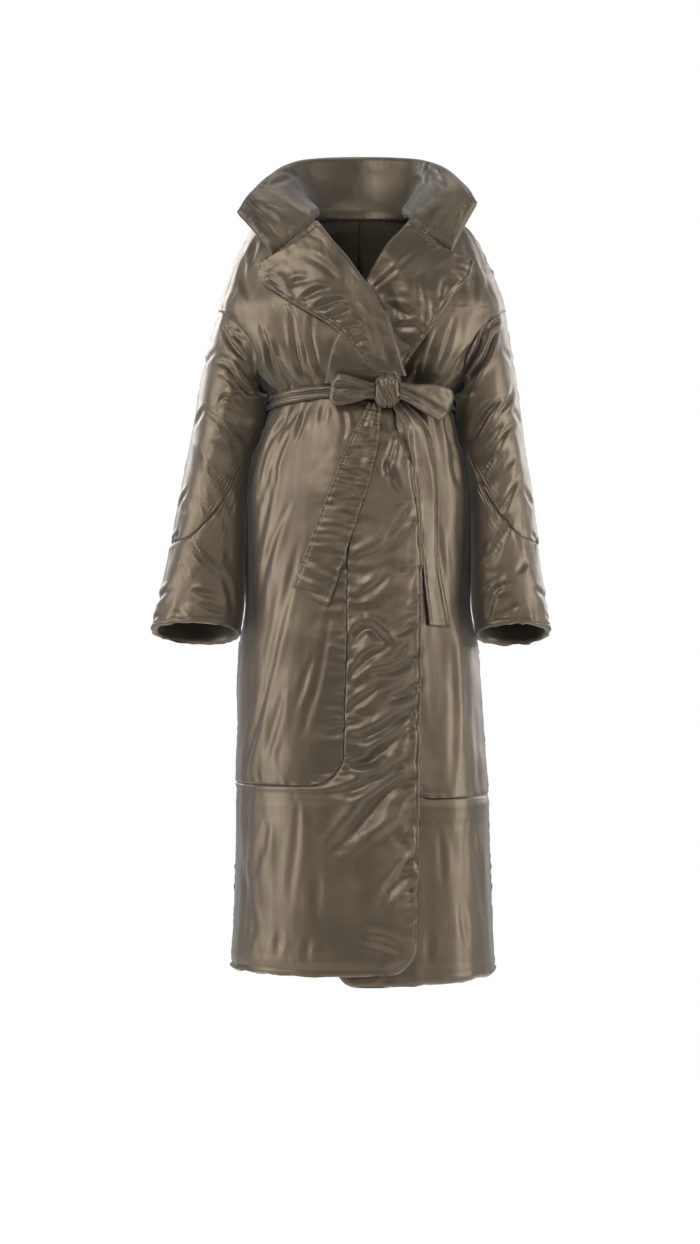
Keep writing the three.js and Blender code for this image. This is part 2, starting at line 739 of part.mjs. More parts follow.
// The collar from the right notch (u = 0) round the back of the neck to the left notch (u = 1). Up to GORGE it is
// sewn to a lapel, then it passes over the roll line, and from ROLL on it stands in the neckline.
const COLLAR_COLUMNS = 36;
const GORGE = LAPEL_COLUMNS / COLLAR_COLUMNS;
const ROLL = GORGE + 0.1;
const COLLAR_EDGE = table("u x y z", [
  [0, -180, -86, 8],
  [0.1, -170, -68, 29],
  [0.19, -155, -44, 49],
  [0.25, -134, -12, 72],
  [0.31, -112, 22, 90],
  [0.39, -78, 62, 104],
  [0.5, 0, 96, 112],
  [0.61, 76, 62, 105],
  [0.69, 108, 22, 94],
  [0.75, 130, -12, 80],
  [0.81, 148, -44, 60],
  [0.9, 161, -68, 42],
  [1, 170, -86, 21],
]);
const COLLAR_ROWS = 4;
const COLLAR_BELLY = 7;
const NOTCH_OPEN = 3.5;

// The foot of the collar: its two faces, where it is sewn on.
function collarFoot(u) {
  const side = u < 0.5 ? RIGHT : LEFT;
  const fromEnd = u < 0.5 ? u : 1 - u;
  const rows = side === RIGHT ? LAPELS.right : LAPELS.left;
  const depthBelow = side === RIGHT ? () => 0 : tuckedUnder;
  const edge = side === RIGHT ? RIGHT_EDGE : LEFT_EDGE;
  const corner = rows(1);
  if (fromEnd <= GORGE) {
    const share = 1 - fromEnd / GORGE;
    const wall = lapelWall(rows, depthBelow, 1, share, true);
    const along = new THREE.Vector3(corner.rollX - corner.edgeX, 0, corner.rollZ - corner.edgeZ).normalize();
    const upwards = new THREE.Vector3(side * Math.abs(along.z), 0, Math.abs(along.x));
    const clear = SEAM_GAP + NOTCH_OPEN * share ** 4;
    return {
      near: wall.outer.addScaledVector(upwards, clear),
      far: wall.inner.addScaledVector(upwards, clear),
    };
  }
  const over = smooth((fromEnd - GORGE) / (ROLL - GORGE));
  const { theta: topTheta, level: topLevel } = onFront(edge(NECKLINE).x, NECKLINE);
  let theta = mix(topTheta, side * 180, (fromEnd - ROLL) / (0.5 - ROLL));
  let level = topLevel;
  if (fromEnd < ROLL) {
    const z = mix(corner.rollZ, NECKLINE, (fromEnd - GORGE) / (ROLL - GORGE));
    ({ theta, level } = onFront(edge(z).x, z));
  }
  const point = bodyPoint(theta, level);
  const out = bodyNormal(theta, Math.min(level, NECKLINE - 1));
  const inwards = new THREE.Vector3(-point.x, -point.y, 2);
  inwards.addScaledVector(out, -inwards.dot(out)).normalize();
  const way = out.multiplyScalar(1 - over).addScaledVector(inwards, over).normalize();
  const clear = mix(ON_PANEL, 1.5, over);
  return {
    near: point.clone().addScaledVector(way, clear + COLLAR_SEWN_WALL),
    far: point.clone().addScaledVector(way, clear),
  };
}

function collarPoint(u, v) {
  const row = COLLAR_EDGE(u);
  const standing = smooth((Math.min(u, 1 - u) - GORGE) / (ROLL - GORGE));
  const belly = COLLAR_BELLY * standing * 4 * v * (1 - v);
  return collarFoot(u)
    .near.lerp(new THREE.Vector3(row.x, row.y, row.z), v)
    .add(new THREE.Vector3(0, belly, -belly / 2));
}

function collarNormal(u, v) {
  const step = 0.01;
  const along = collarPoint(Math.min(1, u + step), v).sub(collarPoint(Math.max(0, u - step), v));
  const up = collarPoint(u, v + step).sub(collarPoint(u, v - step));
  return along.cross(up).normalize();
}

function collar() {
  const outer = [];
  const inner = [];
  for (let i = 0; i <= COLLAR_COLUMNS; i += 1) {
    outer.push([]);
    inner.push([]);
    for (let j = 0; j <= COLLAR_ROWS; j += 1) {
      const u = i / COLLAR_COLUMNS;
      const v = j / COLLAR_ROWS;
      if (j === 0) {
        const foot = collarFoot(u);
        outer[i].push(foot.near);
        inner[i].push(foot.far);
        continue;
      }
      const point = collarPoint(u, v);
      const normal = collarNormal(u, v);
      const pinch = i === 0 || i === COLLAR_COLUMNS || j === COLLAR_ROWS ? 2 : 0;
      outer[i].push(point.clone().addScaledVector(normal, -pinch));
      inner[i].push(point.clone().addScaledVector(normal, pinch - COLLAR_WALL));
    }
  }
  return closedWall("collar", outer, inner);
}

// The belt is a soft flat tube, crumpled to less than half its width where it is drawn tight.
const BELT_HALF_HEIGHT = 12;
const BELT_THICK = 5;
const BELT_STATIONS = 48;
const BELT_REST = 1.1;
const BELT_SWELL = 3;
const BELT_RIM = 1.5;
const BELT_SECTION = [
  { out: 0, up: -1 },
  { out: 0.9, up: -0.6 },
  { out: 0.5, up: 0 },
  { out: 1, up: 0.5 },
  { out: 0, up: 1 },
];

function belt() {
  const outer = [];
  const inner = [];
  for (let i = 0; i < BELT_STATIONS; i += 1) {
    const theta = (360 * i) / BELT_STATIONS;
    outer.push([]);
    inner.push([]);
    BELT_SECTION.forEach(({ out, up }) => {
      const level = BELT_LEVEL + up * BELT_HALF_HEIGHT;
      const swell = BELT_SWELL * up * up;
      outer[i].push(offBody(theta, level, BELT_REST + swell + BELT_RIM + BELT_THICK * out));
      inner[i].push(offBody(theta, level, BELT_REST + swell));
    });
  }
  return closedWall("belt_band", outer, inner, { ring: true, color: OLIVE_DARK });
}

// A tail of the belt, lying on the coat: its two long edges as seen from the front.
const TAILS = {
  belt_tail_right: table("t leftX leftZ rightX rightZ", [
    [0, 12, -281, 30, -284],
    [0.22, -10, -325, 27, -330],
    [0.45, -34, -382, 14, -390],
    [0.72, -64, -460, -11, -468],
    [1, -97, -550, -46, -577],
  ]),
  belt_tail_left: table("t leftX leftZ rightX rightZ", [
    [0, 42, -279, 62, -278],
    [0.2, 66, -335, 109, -330],
    [0.45, 83, -410, 118, -405],
    [0.72, 92, -500, 121, -500],
    [1, 104, -604, 134, -606],
  ]),
};
const TAIL_THICK = 4;
const TAIL_REST = WALL_PUFF + 2 * SEAM_GAP;
const TAIL_ROWS = 12;
const TAIL_COLUMNS = 3;

function beltTail(name) {
  const outer = [];
  const inner = [];
  for (let i = 0; i <= TAIL_COLUMNS; i += 1) {
    outer.push([]);
    inner.push([]);
    for (let j = 0; j <= TAIL_ROWS; j += 1) {
      const row = TAILS[name](j / TAIL_ROWS);
      const share = i / TAIL_COLUMNS;
      const x = mix(row.leftX, row.rightX, share);
      const z = mix(row.leftZ, row.rightZ, share);
      const place = onFront(x, z);
      const underKnot = BELT_FACE - SEAM_GAP / 2 - TAIL_THICK;
      const rest = mix(underKnot, TAIL_REST, smooth((j / TAIL_ROWS) * 4));
      const rim = i === 0 || i === TAIL_COLUMNS;
      outer[i].push(offBody(place.theta, place.level, rest + (rim ? TAIL_THICK - 1 : TAIL_THICK)));
      inner[i].push(offBody(place.theta, place.level, rest));
    }
  }
  return closedWall(name, outer, inner, { color: OLIVE_DARK });
}

// The knot stands on the belt. The bow's loops leave it to both sides and come back.
const KNOT = { x: 36, z: -266, halfWidth: 20, halfHeight: 25, thick: 24 };
const KNOT_AROUND = 14;
const KNOT_RINGS = 8;
const BELT_FACE = BELT_REST + BELT_SWELL / 4 + BELT_RIM + BELT_THICK + 2 * SEAM_GAP;

function knotCentre() {
  const place = onFront(KNOT.x, KNOT.z);
  return offBody(place.theta, place.level, BELT_FACE + KNOT.thick / 2);
}

function knot() {
  const centre = knotCentre();
  const geometry = new THREE.SphereGeometry(1, KNOT_AROUND, KNOT_RINGS);
  geometry.deleteAttribute("normal");
  geometry.deleteAttribute("uv");
  const source = geometry.attributes.position;
  const positions = [0, 1, 0];
  for (let ring = 1; ring < KNOT_RINGS; ring += 1) {
    for (let i = 0; i < KNOT_AROUND; i += 1) {
      const from = ring * (KNOT_AROUND + 1) + i;
      positions.push(source.getX(from), source.getY(from), source.getZ(from));
    }
  }
  positions.push(0, -1, 0);
  const faces = [];
  const last = positions.length / 3 - 1;
  for (let i = 0; i < KNOT_AROUND; i += 1) {
    const next = (i + 1) % KNOT_AROUND;
    faces.push(0, 1 + i, 1 + next);
    for (let ring = 0; ring < KNOT_RINGS - 2; ring += 1) {
      const a = 1 + ring * KNOT_AROUND;
      const b = a + KNOT_AROUND;
      faces.push(a + i, b + i, b + next, a + i, b + next, a + next);
    }
    const end = 1 + (KNOT_RINGS - 2) * KNOT_AROUND;
    faces.push(end + i, last, end + next);
  }
  for (let p = 0; p < positions.length; p += 3) {
    const [x, y, z] = positions.slice(p, p + 3).map((value) => signedPower(value, 0.8));
    positions[p] = centre.x + KNOT.halfWidth * x;
    positions[p + 1] = centre.y + (KNOT.thick / 2) * z;
    positions[p + 2] = centre.z + KNOT.halfHeight * y;
  }
  return solid("belt_knot", positions, faces, OLIVE_DARK);
}

// Each loop of the bow: the way it points, its length, its half width at the knot and at its end, and how far it
// droops. It is a band that runs out behind, turns and comes back in front.
const LOOPS = {
  belt_loop_right: { side: RIGHT, length: 63, nearHalf: 11, farHalf: 21, droop: -2, back: 0 },
  belt_loop_left: { side: LEFT, length: 74, nearHalf: 12, farHalf: 24, droop: 21, back: 34 },
};
const LOOP_STEPS = 14;
const LOOP_COLUMNS = 3;
const LOOP_THICK = 3;
const LOOP_GAP = 7;

function bowLoop(name) {
  const { side, length, nearHalf, farHalf, droop, back } = LOOPS[name];
  const middle = knotCentre();
  const start = middle.x + side * (KNOT.halfWidth - SEAM_GAP);
  const radius = LOOP_GAP / 2 + LOOP_THICK;
  const outer = [];
  const inner = [];
  for (let i = 0; i <= LOOP_COLUMNS; i += 1) {
    outer.push([]);
    inner.push([]);
    for (let j = 0; j <= LOOP_STEPS; j += 1) {
      const run = (2 * j) / LOOP_STEPS - 1;
      const flat = length - radius;
      const turn = degrees(90 * Math.max(-1, Math.min(1, run / 0.3)));
      const reach = Math.abs(run) > 0.3 ? flat * ((1 - Math.abs(run)) / 0.7) : flat + radius * Math.cos(turn);
      const share = reach / length;
      const half = mix(nearHalf, farHalf, smooth(share * 1.2));
      const x = start + side * reach;
      const z = middle.z + mix(-half, half, i / LOOP_COLUMNS) - droop * share;
      const y = middle.y + back * share;
      outer[i].push(new THREE.Vector3(x, y - radius * Math.sin(turn), z));
      const cut = side * LOOP_THICK * Math.cos(turn);
      inner[i].push(new THREE.Vector3(x - cut, y - (radius - LOOP_THICK) * Math.sin(turn), z));
    }
  }
  return closedWall(name, outer, inner, { color: OLIVE_DARK });
}

const coat = new THREE.Group();
coat.add(
  backPanels(),
  frontPanels("right", FRONTS.right, () => 0),
  frontPanels("left", FRONTS.left, tuckedUnder),
  sleeve("right", RIGHT),
  sleeve("left", LEFT),
  lapel("right_lapel", LAPELS.right, () => 0),
  lapel("left_lapel", LAPELS.left, tuckedUnder),
  collar(),
  belt(),
  knot(),
  ...Object.keys(TAILS).map(beltTail),
  ...Object.keys(LOOPS).map(bowLoop),
);

export default coat;
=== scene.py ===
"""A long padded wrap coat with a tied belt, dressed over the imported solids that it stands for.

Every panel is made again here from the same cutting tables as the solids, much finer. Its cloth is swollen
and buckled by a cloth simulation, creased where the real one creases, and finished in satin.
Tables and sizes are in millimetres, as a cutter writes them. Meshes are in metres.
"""

from __future__ import annotations

import json
import logging
import math
from dataclasses import dataclass, field
from enum import Enum
from typing import Callable, ClassVar, Sequence

import bpy
import numpy as np
from mathutils import Vector
from mathutils.bvhtree import BVHTree
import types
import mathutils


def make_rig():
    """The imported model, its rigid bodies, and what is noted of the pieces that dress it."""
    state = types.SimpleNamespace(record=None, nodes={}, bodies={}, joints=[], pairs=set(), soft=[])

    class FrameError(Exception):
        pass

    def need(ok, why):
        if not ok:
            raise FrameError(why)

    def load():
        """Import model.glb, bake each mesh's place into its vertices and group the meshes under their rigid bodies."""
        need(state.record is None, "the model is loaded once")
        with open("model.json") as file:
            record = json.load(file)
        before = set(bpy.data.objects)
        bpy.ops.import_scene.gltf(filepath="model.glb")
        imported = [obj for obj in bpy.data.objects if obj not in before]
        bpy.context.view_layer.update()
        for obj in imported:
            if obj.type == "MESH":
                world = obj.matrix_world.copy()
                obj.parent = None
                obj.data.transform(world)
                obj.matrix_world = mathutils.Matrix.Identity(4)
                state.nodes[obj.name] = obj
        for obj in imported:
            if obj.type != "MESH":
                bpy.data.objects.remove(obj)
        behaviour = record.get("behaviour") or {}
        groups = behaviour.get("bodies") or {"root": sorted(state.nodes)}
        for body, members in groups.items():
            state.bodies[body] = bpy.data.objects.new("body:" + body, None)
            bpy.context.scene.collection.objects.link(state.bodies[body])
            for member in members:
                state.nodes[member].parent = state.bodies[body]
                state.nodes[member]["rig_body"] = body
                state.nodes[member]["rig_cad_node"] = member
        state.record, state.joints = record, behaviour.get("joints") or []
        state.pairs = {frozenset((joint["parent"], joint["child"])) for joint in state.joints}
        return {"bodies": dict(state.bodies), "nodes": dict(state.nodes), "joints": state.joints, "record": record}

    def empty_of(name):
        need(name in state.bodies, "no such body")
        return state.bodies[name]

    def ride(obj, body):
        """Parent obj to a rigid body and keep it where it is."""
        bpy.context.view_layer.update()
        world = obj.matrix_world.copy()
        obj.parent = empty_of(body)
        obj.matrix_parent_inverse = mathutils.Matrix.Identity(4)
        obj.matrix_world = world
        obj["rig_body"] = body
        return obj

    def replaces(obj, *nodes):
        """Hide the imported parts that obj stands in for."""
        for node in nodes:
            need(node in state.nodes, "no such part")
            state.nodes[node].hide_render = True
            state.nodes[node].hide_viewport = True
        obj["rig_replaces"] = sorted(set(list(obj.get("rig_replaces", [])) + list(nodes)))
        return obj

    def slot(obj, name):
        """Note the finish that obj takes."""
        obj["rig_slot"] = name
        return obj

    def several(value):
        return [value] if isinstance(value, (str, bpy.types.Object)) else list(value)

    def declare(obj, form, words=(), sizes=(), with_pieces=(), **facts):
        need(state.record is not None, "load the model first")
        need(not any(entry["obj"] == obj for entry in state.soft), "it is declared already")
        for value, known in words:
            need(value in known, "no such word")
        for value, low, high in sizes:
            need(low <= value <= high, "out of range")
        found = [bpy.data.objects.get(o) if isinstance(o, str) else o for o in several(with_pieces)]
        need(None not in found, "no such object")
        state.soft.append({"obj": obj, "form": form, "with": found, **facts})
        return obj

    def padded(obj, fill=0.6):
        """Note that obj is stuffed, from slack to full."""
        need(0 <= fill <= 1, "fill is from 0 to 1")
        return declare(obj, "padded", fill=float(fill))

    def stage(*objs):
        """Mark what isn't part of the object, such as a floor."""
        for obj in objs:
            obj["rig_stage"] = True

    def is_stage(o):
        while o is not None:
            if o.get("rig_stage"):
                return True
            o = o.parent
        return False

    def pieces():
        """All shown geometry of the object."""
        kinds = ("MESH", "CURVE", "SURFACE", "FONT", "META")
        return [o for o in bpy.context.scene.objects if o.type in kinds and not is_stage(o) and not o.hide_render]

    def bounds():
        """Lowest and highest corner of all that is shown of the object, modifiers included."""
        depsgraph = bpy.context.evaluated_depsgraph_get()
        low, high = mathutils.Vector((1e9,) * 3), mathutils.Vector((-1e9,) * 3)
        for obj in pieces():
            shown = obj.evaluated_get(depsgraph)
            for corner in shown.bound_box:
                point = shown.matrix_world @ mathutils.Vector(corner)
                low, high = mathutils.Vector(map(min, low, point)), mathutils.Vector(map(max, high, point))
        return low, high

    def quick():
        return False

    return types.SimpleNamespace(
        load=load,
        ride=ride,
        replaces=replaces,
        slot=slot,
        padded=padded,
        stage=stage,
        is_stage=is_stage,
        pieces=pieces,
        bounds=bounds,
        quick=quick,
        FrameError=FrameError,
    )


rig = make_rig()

log = logging.getLogger("coat")

MM = 0.001
BODY_NAME = "root"
SIZE_FILE = "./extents.json"

WALL = 7.0
WALL_PUFF = 1.5
LAPEL_WALL = 6.0
COLLAR_WALL = 9.0
COLLAR_SEWN_WALL = 5.0
LAYER_GAP = 1.0
FACET_ROOM = 1.5
GATHER_RIDGE = 2.0
EDGE_LEFT = 0.4
INNER_STEP = 3
SEWN_BLEND = 18.0
FAR = 1e6
ON_PANEL = WALL_PUFF + GATHER_RIDGE + LAYER_GAP

NECKLINE = 15.0
BELT_LEVEL = -285.0
BELT_RISE = 24.0
BELT_RISE_REACH = 100.0
RIGHT_HEM = -1116.0
RIGHT_HEM_SEAM = -838.0
LEFT_HEM = -1134.0
LEFT_HEM_AT_SIDE = -1122.0
LEFT_HEM_SEAM = -857.0
SEAM_CORNER_RADIUS = 50.0
HEM_CORNER_RADIUS = 45.0
ARMHOLE_TOP = -135.0
ARMHOLE_FOOT = -258.0
ARMHOLE_REACH_DEG = 36.0
SIDE_SEAM_DEG = 90.0

Array = np.ndarray


class Side(Enum):
    """The wearer's right and left, as the sign of x."""

    RIGHT = -1
    LEFT = 1


class Border(Enum):
    """How a panel ends: sewn to its neighbour, turned and stitched as a free edge, or run out of sight."""

    SEAM = "seam"
    EDGE = "edge"
    PLAIN = "plain"


def smooth(value: Array) -> Array:
    """Eases from 0 to 1."""
    t = np.clip(value, 0.0, 1.0)
    return t * t * (3.0 - 2.0 * t)


def hump(value: Array) -> Array:
    """A rounded bump, 1 at 0 and nothing from 1 on."""
    return np.where(np.abs(value) < 1.0, (1.0 - value * value) ** 2, 0.0)


def bell(value: Array) -> Array:
    """A rounded bump, 1 at 0, that fades out on both sides."""
    return np.exp(-(value ** 2))


def mix(start: Array, end: Array, share: Array) -> Array:
    """A share of the way from start to end."""
    return start + (end - start) * share


def unit(vectors: Array) -> Array:
    """Vectors of length 1."""
    return vectors / np.maximum(np.linalg.norm(vectors, axis=-1, keepdims=True), 1e-9)


def numbers(rows: str) -> list[list[float]]:
    """The numbers in a text of rows that are parted by commas."""
    return [[float(word) for word in row.split()] for row in rows.split(",")]


class Table:
    """Named columns of sizes against a key, joined by curves that never overshoot."""

    def __init__(self, header: str, rows: str) -> None:
        """Works out the slope of every column at every key.

        Args:
            header: the key's name and the columns' names.
            rows: the key and the columns' values in any order, with commas between the rows.
        """
        ordered = np.array(sorted(numbers(rows)))
        self.keys = ordered[:, 0]
        self.values = {name: ordered[:, i] for i, name in enumerate(header.split()[1:], 1)}
        self.slopes = {name: self._slopes(values) for name, values in self.values.items()}

    def _slopes(self, values: Array) -> Array:
        """The slopes that keep each rise and fall of a column."""
        rise = np.diff(values) / np.diff(self.keys)
        slopes = np.concatenate([rise[:1], np.zeros(len(rise) - 1), rise[-1:]])
        product = rise[:-1] * rise[1:]
        total = rise[:-1] + rise[1:]
        safe = np.where(np.abs(total) > 1e-12, total, 1.0)
        slopes[1:-1] = np.where(product > 0, 2.0 * product / safe, 0.0)
        return slopes

    def get(self, name: str, key: Array) -> Array:
        """One column at any keys.

        Args:
            name: the column.
            key: where to read it.

        Returns:
            The column's values, held at the table's ends.
        """
        values, slopes = self.values[name], self.slopes[name]
        at = np.clip(key, self.keys[0], self.keys[-1])
        i = np.clip(np.searchsorted(self.keys, at, side="right") - 1, 0, len(self.keys) - 2)
        span = self.keys[i + 1] - self.keys[i]
        t = (at - self.keys[i]) / span
        start = values[i] * (1 + 2 * t) * (1 - t) ** 2 + slopes[i] * span * t * (1 - t) ** 2
        return start + values[i + 1] * t * t * (3 - 2 * t) - slopes[i + 1] * span * t * t * (1 - t)


BODY = Table("level right left front back square", """
    -1140 195 203 170 166 2.3, -1110 193 201 170 166 2.3, -1000 186 196 167 163 2.3,
    -870 184 191 165 160 2.3, -720 183 182 162 157 2.3, -640 180 177 160 154 2.3, -570 169 163 157 151 2.3,
    -490 170 165 153 147 2.3, -420 171 165 147 141 2.3, -370 165 159 139 135 2.3, -330 155 152 130 128 2.3,
    -300 143 145 121 121 2.3, -285 135 137 118 118 2.3, -272 139 141 121 121 2.3, -258 153 155 126 125 2.3,
    -235 169 172 130 127 2.3, -196 191 196 131 126 2.25, -160 205 210 129 122 2.2, -135 211 216 126 118 2.2,
    -100 200 206 120 112 2.1, -60 186 190 112 105 2.05, -27 170 173 101 96 2, -10 157 160 92 88 1.95,
    0 136 137 84 82 1.9, 8 108 108 77 76 1.9, 15 84 84 70 70 2
""")
RIGHT_EDGE = Table("z x", """
    15 -68, -13 -66, -29 -55, -68 -22, -112 8, -151 33, -189 46, -242 60, -298 71, -387 80, -437 88, -510 93,
    -613 92, -847 88, -1071 82
""")
LEFT_EDGE = Table("z x", """
    15 70, -13 74, -33 60, -72 28, -112 6, -163 -22, -205 -40, -246 -50, -437 -50, -847 -43, -1135 -41
""")
RIGHT_SEAM = Table("z x", """
    15 -83, -13 -93, -29 -86, -68 -68, -112 -38, -151 -15, -189 0, -242 18, -300 18, -350 5, -387 -8,
    -437 -16, -510 -19.6, -613 -20, -788 -24
""")
LEFT_SEAM = Table("z x", """
    15 83, -13 98, -72 72, -112 50, -163 28, -246 12, -300 25, -387 45, -613 58, -807 60
""")


@dataclass(frozen=True)
class Gather:
    """A fold that the belt draws in: where it starts round the body, its lean, length and depth."""

    angle: float
    lean: float
    reach: float
    depth: float


GATHERS_ABOVE = tuple(Gather(*row) for row in numbers("""
    -61 -3 62 6, -44 6 100 7, -25 -5 120 7, -15 -5 105 5, 25 -1 72 5, 37 -5 105 7, 50 -1 70 6, 64 4 64 5,
    112 3 70 5, 130 2 105 6, 151 2 80 5, 173 1 115 6, 194 -2 85 6, 216 -2 105 5, 240 -3 75 6
"""))
GATHERS_BELOW = tuple(Gather(*row) for row in numbers("""
    -72 -6 100 5, -57 -12 120 6, -43 -12 150 7, -28 -4 70 5, 46 3 90 5, 58 5 130 7, 72 5 100 5,
    108 -2 110 5, 126 -3 150 6, 146 2 90 5, 167 -1 150 6, 189 2 100 6, 211 -2 145 5, 233 3 105 6, 252 2 130 5
"""))


class BodyForm:
    """The outside of the coat's body: level sections that swell and narrow from the neck to the hem."""

    ANGLE_STEP = 1.2
    LEVEL_STEP = 1.5
    GATHER_HALF_WIDTH_DEG = 3.6

    @staticmethod
    def lift(level: Array) -> Array:
        """How far the belt line lifts the front of the coat."""
        return BELT_RISE * hump((level - BELT_LEVEL) / BELT_RISE_REACH)

    def point(self, theta: Array, level: Array) -> Array:
        """Points on the outside.

        Args:
            theta: degrees from the middle of the front, towards the wearer's left.
            level: the section's height.

        Returns:
            The points, with x, y and z last.
        """
        turn = np.radians(theta)
        across, along = np.sin(turn), np.cos(turn)
        half = np.where(across > 0, BODY.get("left", level), BODY.get("right", level))
        deep = np.where(along > 0, BODY.get("front", level), BODY.get("back", level))
        power = 2.0 / BODY.get("square", level)
        x = half * np.sign(across) * np.abs(across) ** power
        y = -deep * np.sign(along) * np.abs(along) ** power
        return np.stack([x, y, level + self.lift(level) * np.maximum(0.0, along)], axis=-1)

    def normal(self, theta: Array, level: Array) -> Array:
        """The directions straight out of the surface."""
        around = self.point(theta + self.ANGLE_STEP, level) - self.point(theta - self.ANGLE_STEP, level)
        up = self.point(theta, level + self.LEVEL_STEP) - self.point(theta, level - self.LEVEL_STEP)
        return unit(np.cross(around, up))

    def on_front(self, x: Array, z: Array) -> tuple[Array, Array]:
        """The places on the body that are seen at x and z from the front.

        Returns:
            theta and level.
        """
        x, z = np.broadcast_arrays(np.asarray(x, float), np.asarray(z, float))
        level = z.copy()
        theta = np.zeros_like(level)
        for _ in range(8):
            half = np.where(x > 0, BODY.get("left", level), BODY.get("right", level))
            share = np.minimum(1.0, np.abs(x) / half)
            theta = np.sign(x) * np.degrees(np.arcsin(share ** (BODY.get("square", level) / 2.0)))
            level = z - self.lift(level) * np.cos(np.radians(theta))
        return theta, level

    def gather(self, theta: Array, level: Array) -> Array:
        """How far the belt's gathers move the cloth out, or in where it is negative."""
        distance = np.abs(level - BELT_LEVEL)
        ridge = np.zeros_like(distance)
        trough = np.zeros_like(distance)
        for folds, here in ((GATHERS_ABOVE, level > BELT_LEVEL), (GATHERS_BELOW, level <= BELT_LEVEL)):
            for fold in folds:
                run = distance / fold.reach
                grown = np.where(here & (run < 1.0), smooth(run / 0.3) * (1.0 - run), 0.0)
                lean = fold.angle + fold.lean * run
                aside = np.abs((theta - lean + 540.0) % 360.0 - 180.0) / self.GATHER_HALF_WIDTH_DEG
                ridge = np.maximum(ridge, grown * GATHER_RIDGE * bell(aside / 2.5))
                trough = np.maximum(trough, grown * (fold.depth + GATHER_RIDGE) * np.exp(-aside * aside))
        return ridge - trough

    @staticmethod
    def tucked_under(x: Array, z: Array) -> Array:
        """How deep the left front lies under the right front that wraps over it."""
        shallow = WALL + ON_PANEL
        deep = shallow + LAPEL_WALL + LAYER_GAP + FACET_ROOM
        most = mix(shallow, deep, smooth((z + 300.0) / 50.0))
        return most * (1.0 - smooth((x - RIGHT_EDGE.get("x", z) - 10.0) / 56.0))


FORM = BodyForm()


class SleeveForm:
    """The outside of one sleeve, from the dropped shoulder to the cuff."""

    HEADER = "t out_x out_z in_x in_z depth mid bow tilt"
    SECTIONS = {
        Side.RIGHT: Table(HEADER, """
            0 211 -135 153 -258 75 2 22 0, 0.08 222 -172 157 -269 77 2 14 0, 0.18 234 -222 156 -287 77 0 6 0,
            0.3 243 -280 157 -314 75 -2 2 0, 0.43 254 -345 170 -354 72 -6 0 2,
            0.54 264 -400 179 -402 70 -14 0 4, 0.65 275 -455 177 -455 68 -24 0 7,
            0.77 286 -512 176 -510 66 -34 0 10, 0.89 297 -565 176 -567 63 -46 0 14,
            1 309 -616 178 -621 58 -58 0 17
        """),
        Side.LEFT: Table(HEADER, """
            0 216 -135 155 -258 75 2 22 0, 0.08 223 -172 159 -269 77 2 14 0, 0.18 230 -222 158 -287 77 0 6 0,
            0.3 237 -280 157 -314 75 -2 2 0, 0.43 245 -345 164 -354 72 -6 0 2,
            0.54 254 -400 169 -402 70 -12 0 4, 0.65 261 -455 171 -455 68 -22 0 7,
            0.77 267 -512 170 -510 66 -32 0 10, 0.89 275 -565 169 -567 63 -44 0 14,
            1 282 -618 170 -622 58 -56 0 17
        """),
    }
    SHOULDER = 0.05
    LAP = Table("t lap", """
        0 0, 0.06 4, 0.12 13, 0.2 16, 0.3 12, 0.43 12, 0.54 12, 0.65 11, 0.77 9, 0.89 7, 1 4
    """)

    def __init__(self, side: Side) -> None:
        """Keeps the sections of one side."""
        self.side = side
        self.rows = self.SECTIONS[side]

    def armhole(self, phi: Array) -> tuple[Array, Array]:
        """The place on the body of a point round the armhole, as theta and level."""
        middle = (ARMHOLE_TOP + ARMHOLE_FOOT) / 2.0
        half = (ARMHOLE_TOP - ARMHOLE_FOOT) / 2.0
        turn = np.radians(phi)
        theta = self.side.value * (SIDE_SEAM_DEG - ARMHOLE_REACH_DEG * np.sin(turn))
        return theta, middle + half * np.cos(turn)

    def point(self, phi: Array, t: Array) -> Array:
        """Points on the outside, round from the outer side (0) over the front (90) to the body (180)."""
        get = self.rows.get
        turn = np.radians(phi)
        across, forward = np.cos(turn), np.sin(turn)
        inward = (1.0 - across) / 2.0
        x = mix(get("out_x", t), get("in_x", t), inward) - get("bow", t) * forward * forward
        x = x + self.LAP.get("lap", t) * np.minimum(0.0, 2.0 * across * forward) * (forward > 0)
        y = get("mid", t) - get("depth", t) * forward
        z = mix(get("out_z", t), get("in_z", t), inward) + get("tilt", t) * forward
        arm = np.stack([self.side.value * x, y, z], axis=-1)
        joint = FORM.point(*self.armhole(phi))
        return mix(joint, arm, smooth(t / self.SHOULDER)[..., None])

    def normal(self, phi: Array, t: Array) -> Array:
        """The directions straight out of the sleeve."""
        step, tiny = 3.0, 0.012
        around = self.point(phi + step, t) - self.point(phi - step, t)
        down = self.point(phi, t + tiny) - self.point(phi, np.maximum(t - tiny, 0.0))
        return unit(np.cross(around, down) * self.side.value)

    def seam_normal(self, phi: Array) -> Array:
        """The direction that the body and the sleeve share where they are sewn."""
        return unit(FORM.normal(*self.armhole(phi)) + self.normal(phi, np.full_like(phi, 0.06)))

    @staticmethod
    def seam(phi: Array) -> Array:
        """Where the two pieces of the sleeve are sewn, as t."""
        return 0.715 - 0.44 * ((1.0 - np.cos(np.radians(phi))) / 2.0) ** 3


SLEEVES = {side: SleeveForm(side) for side in Side}


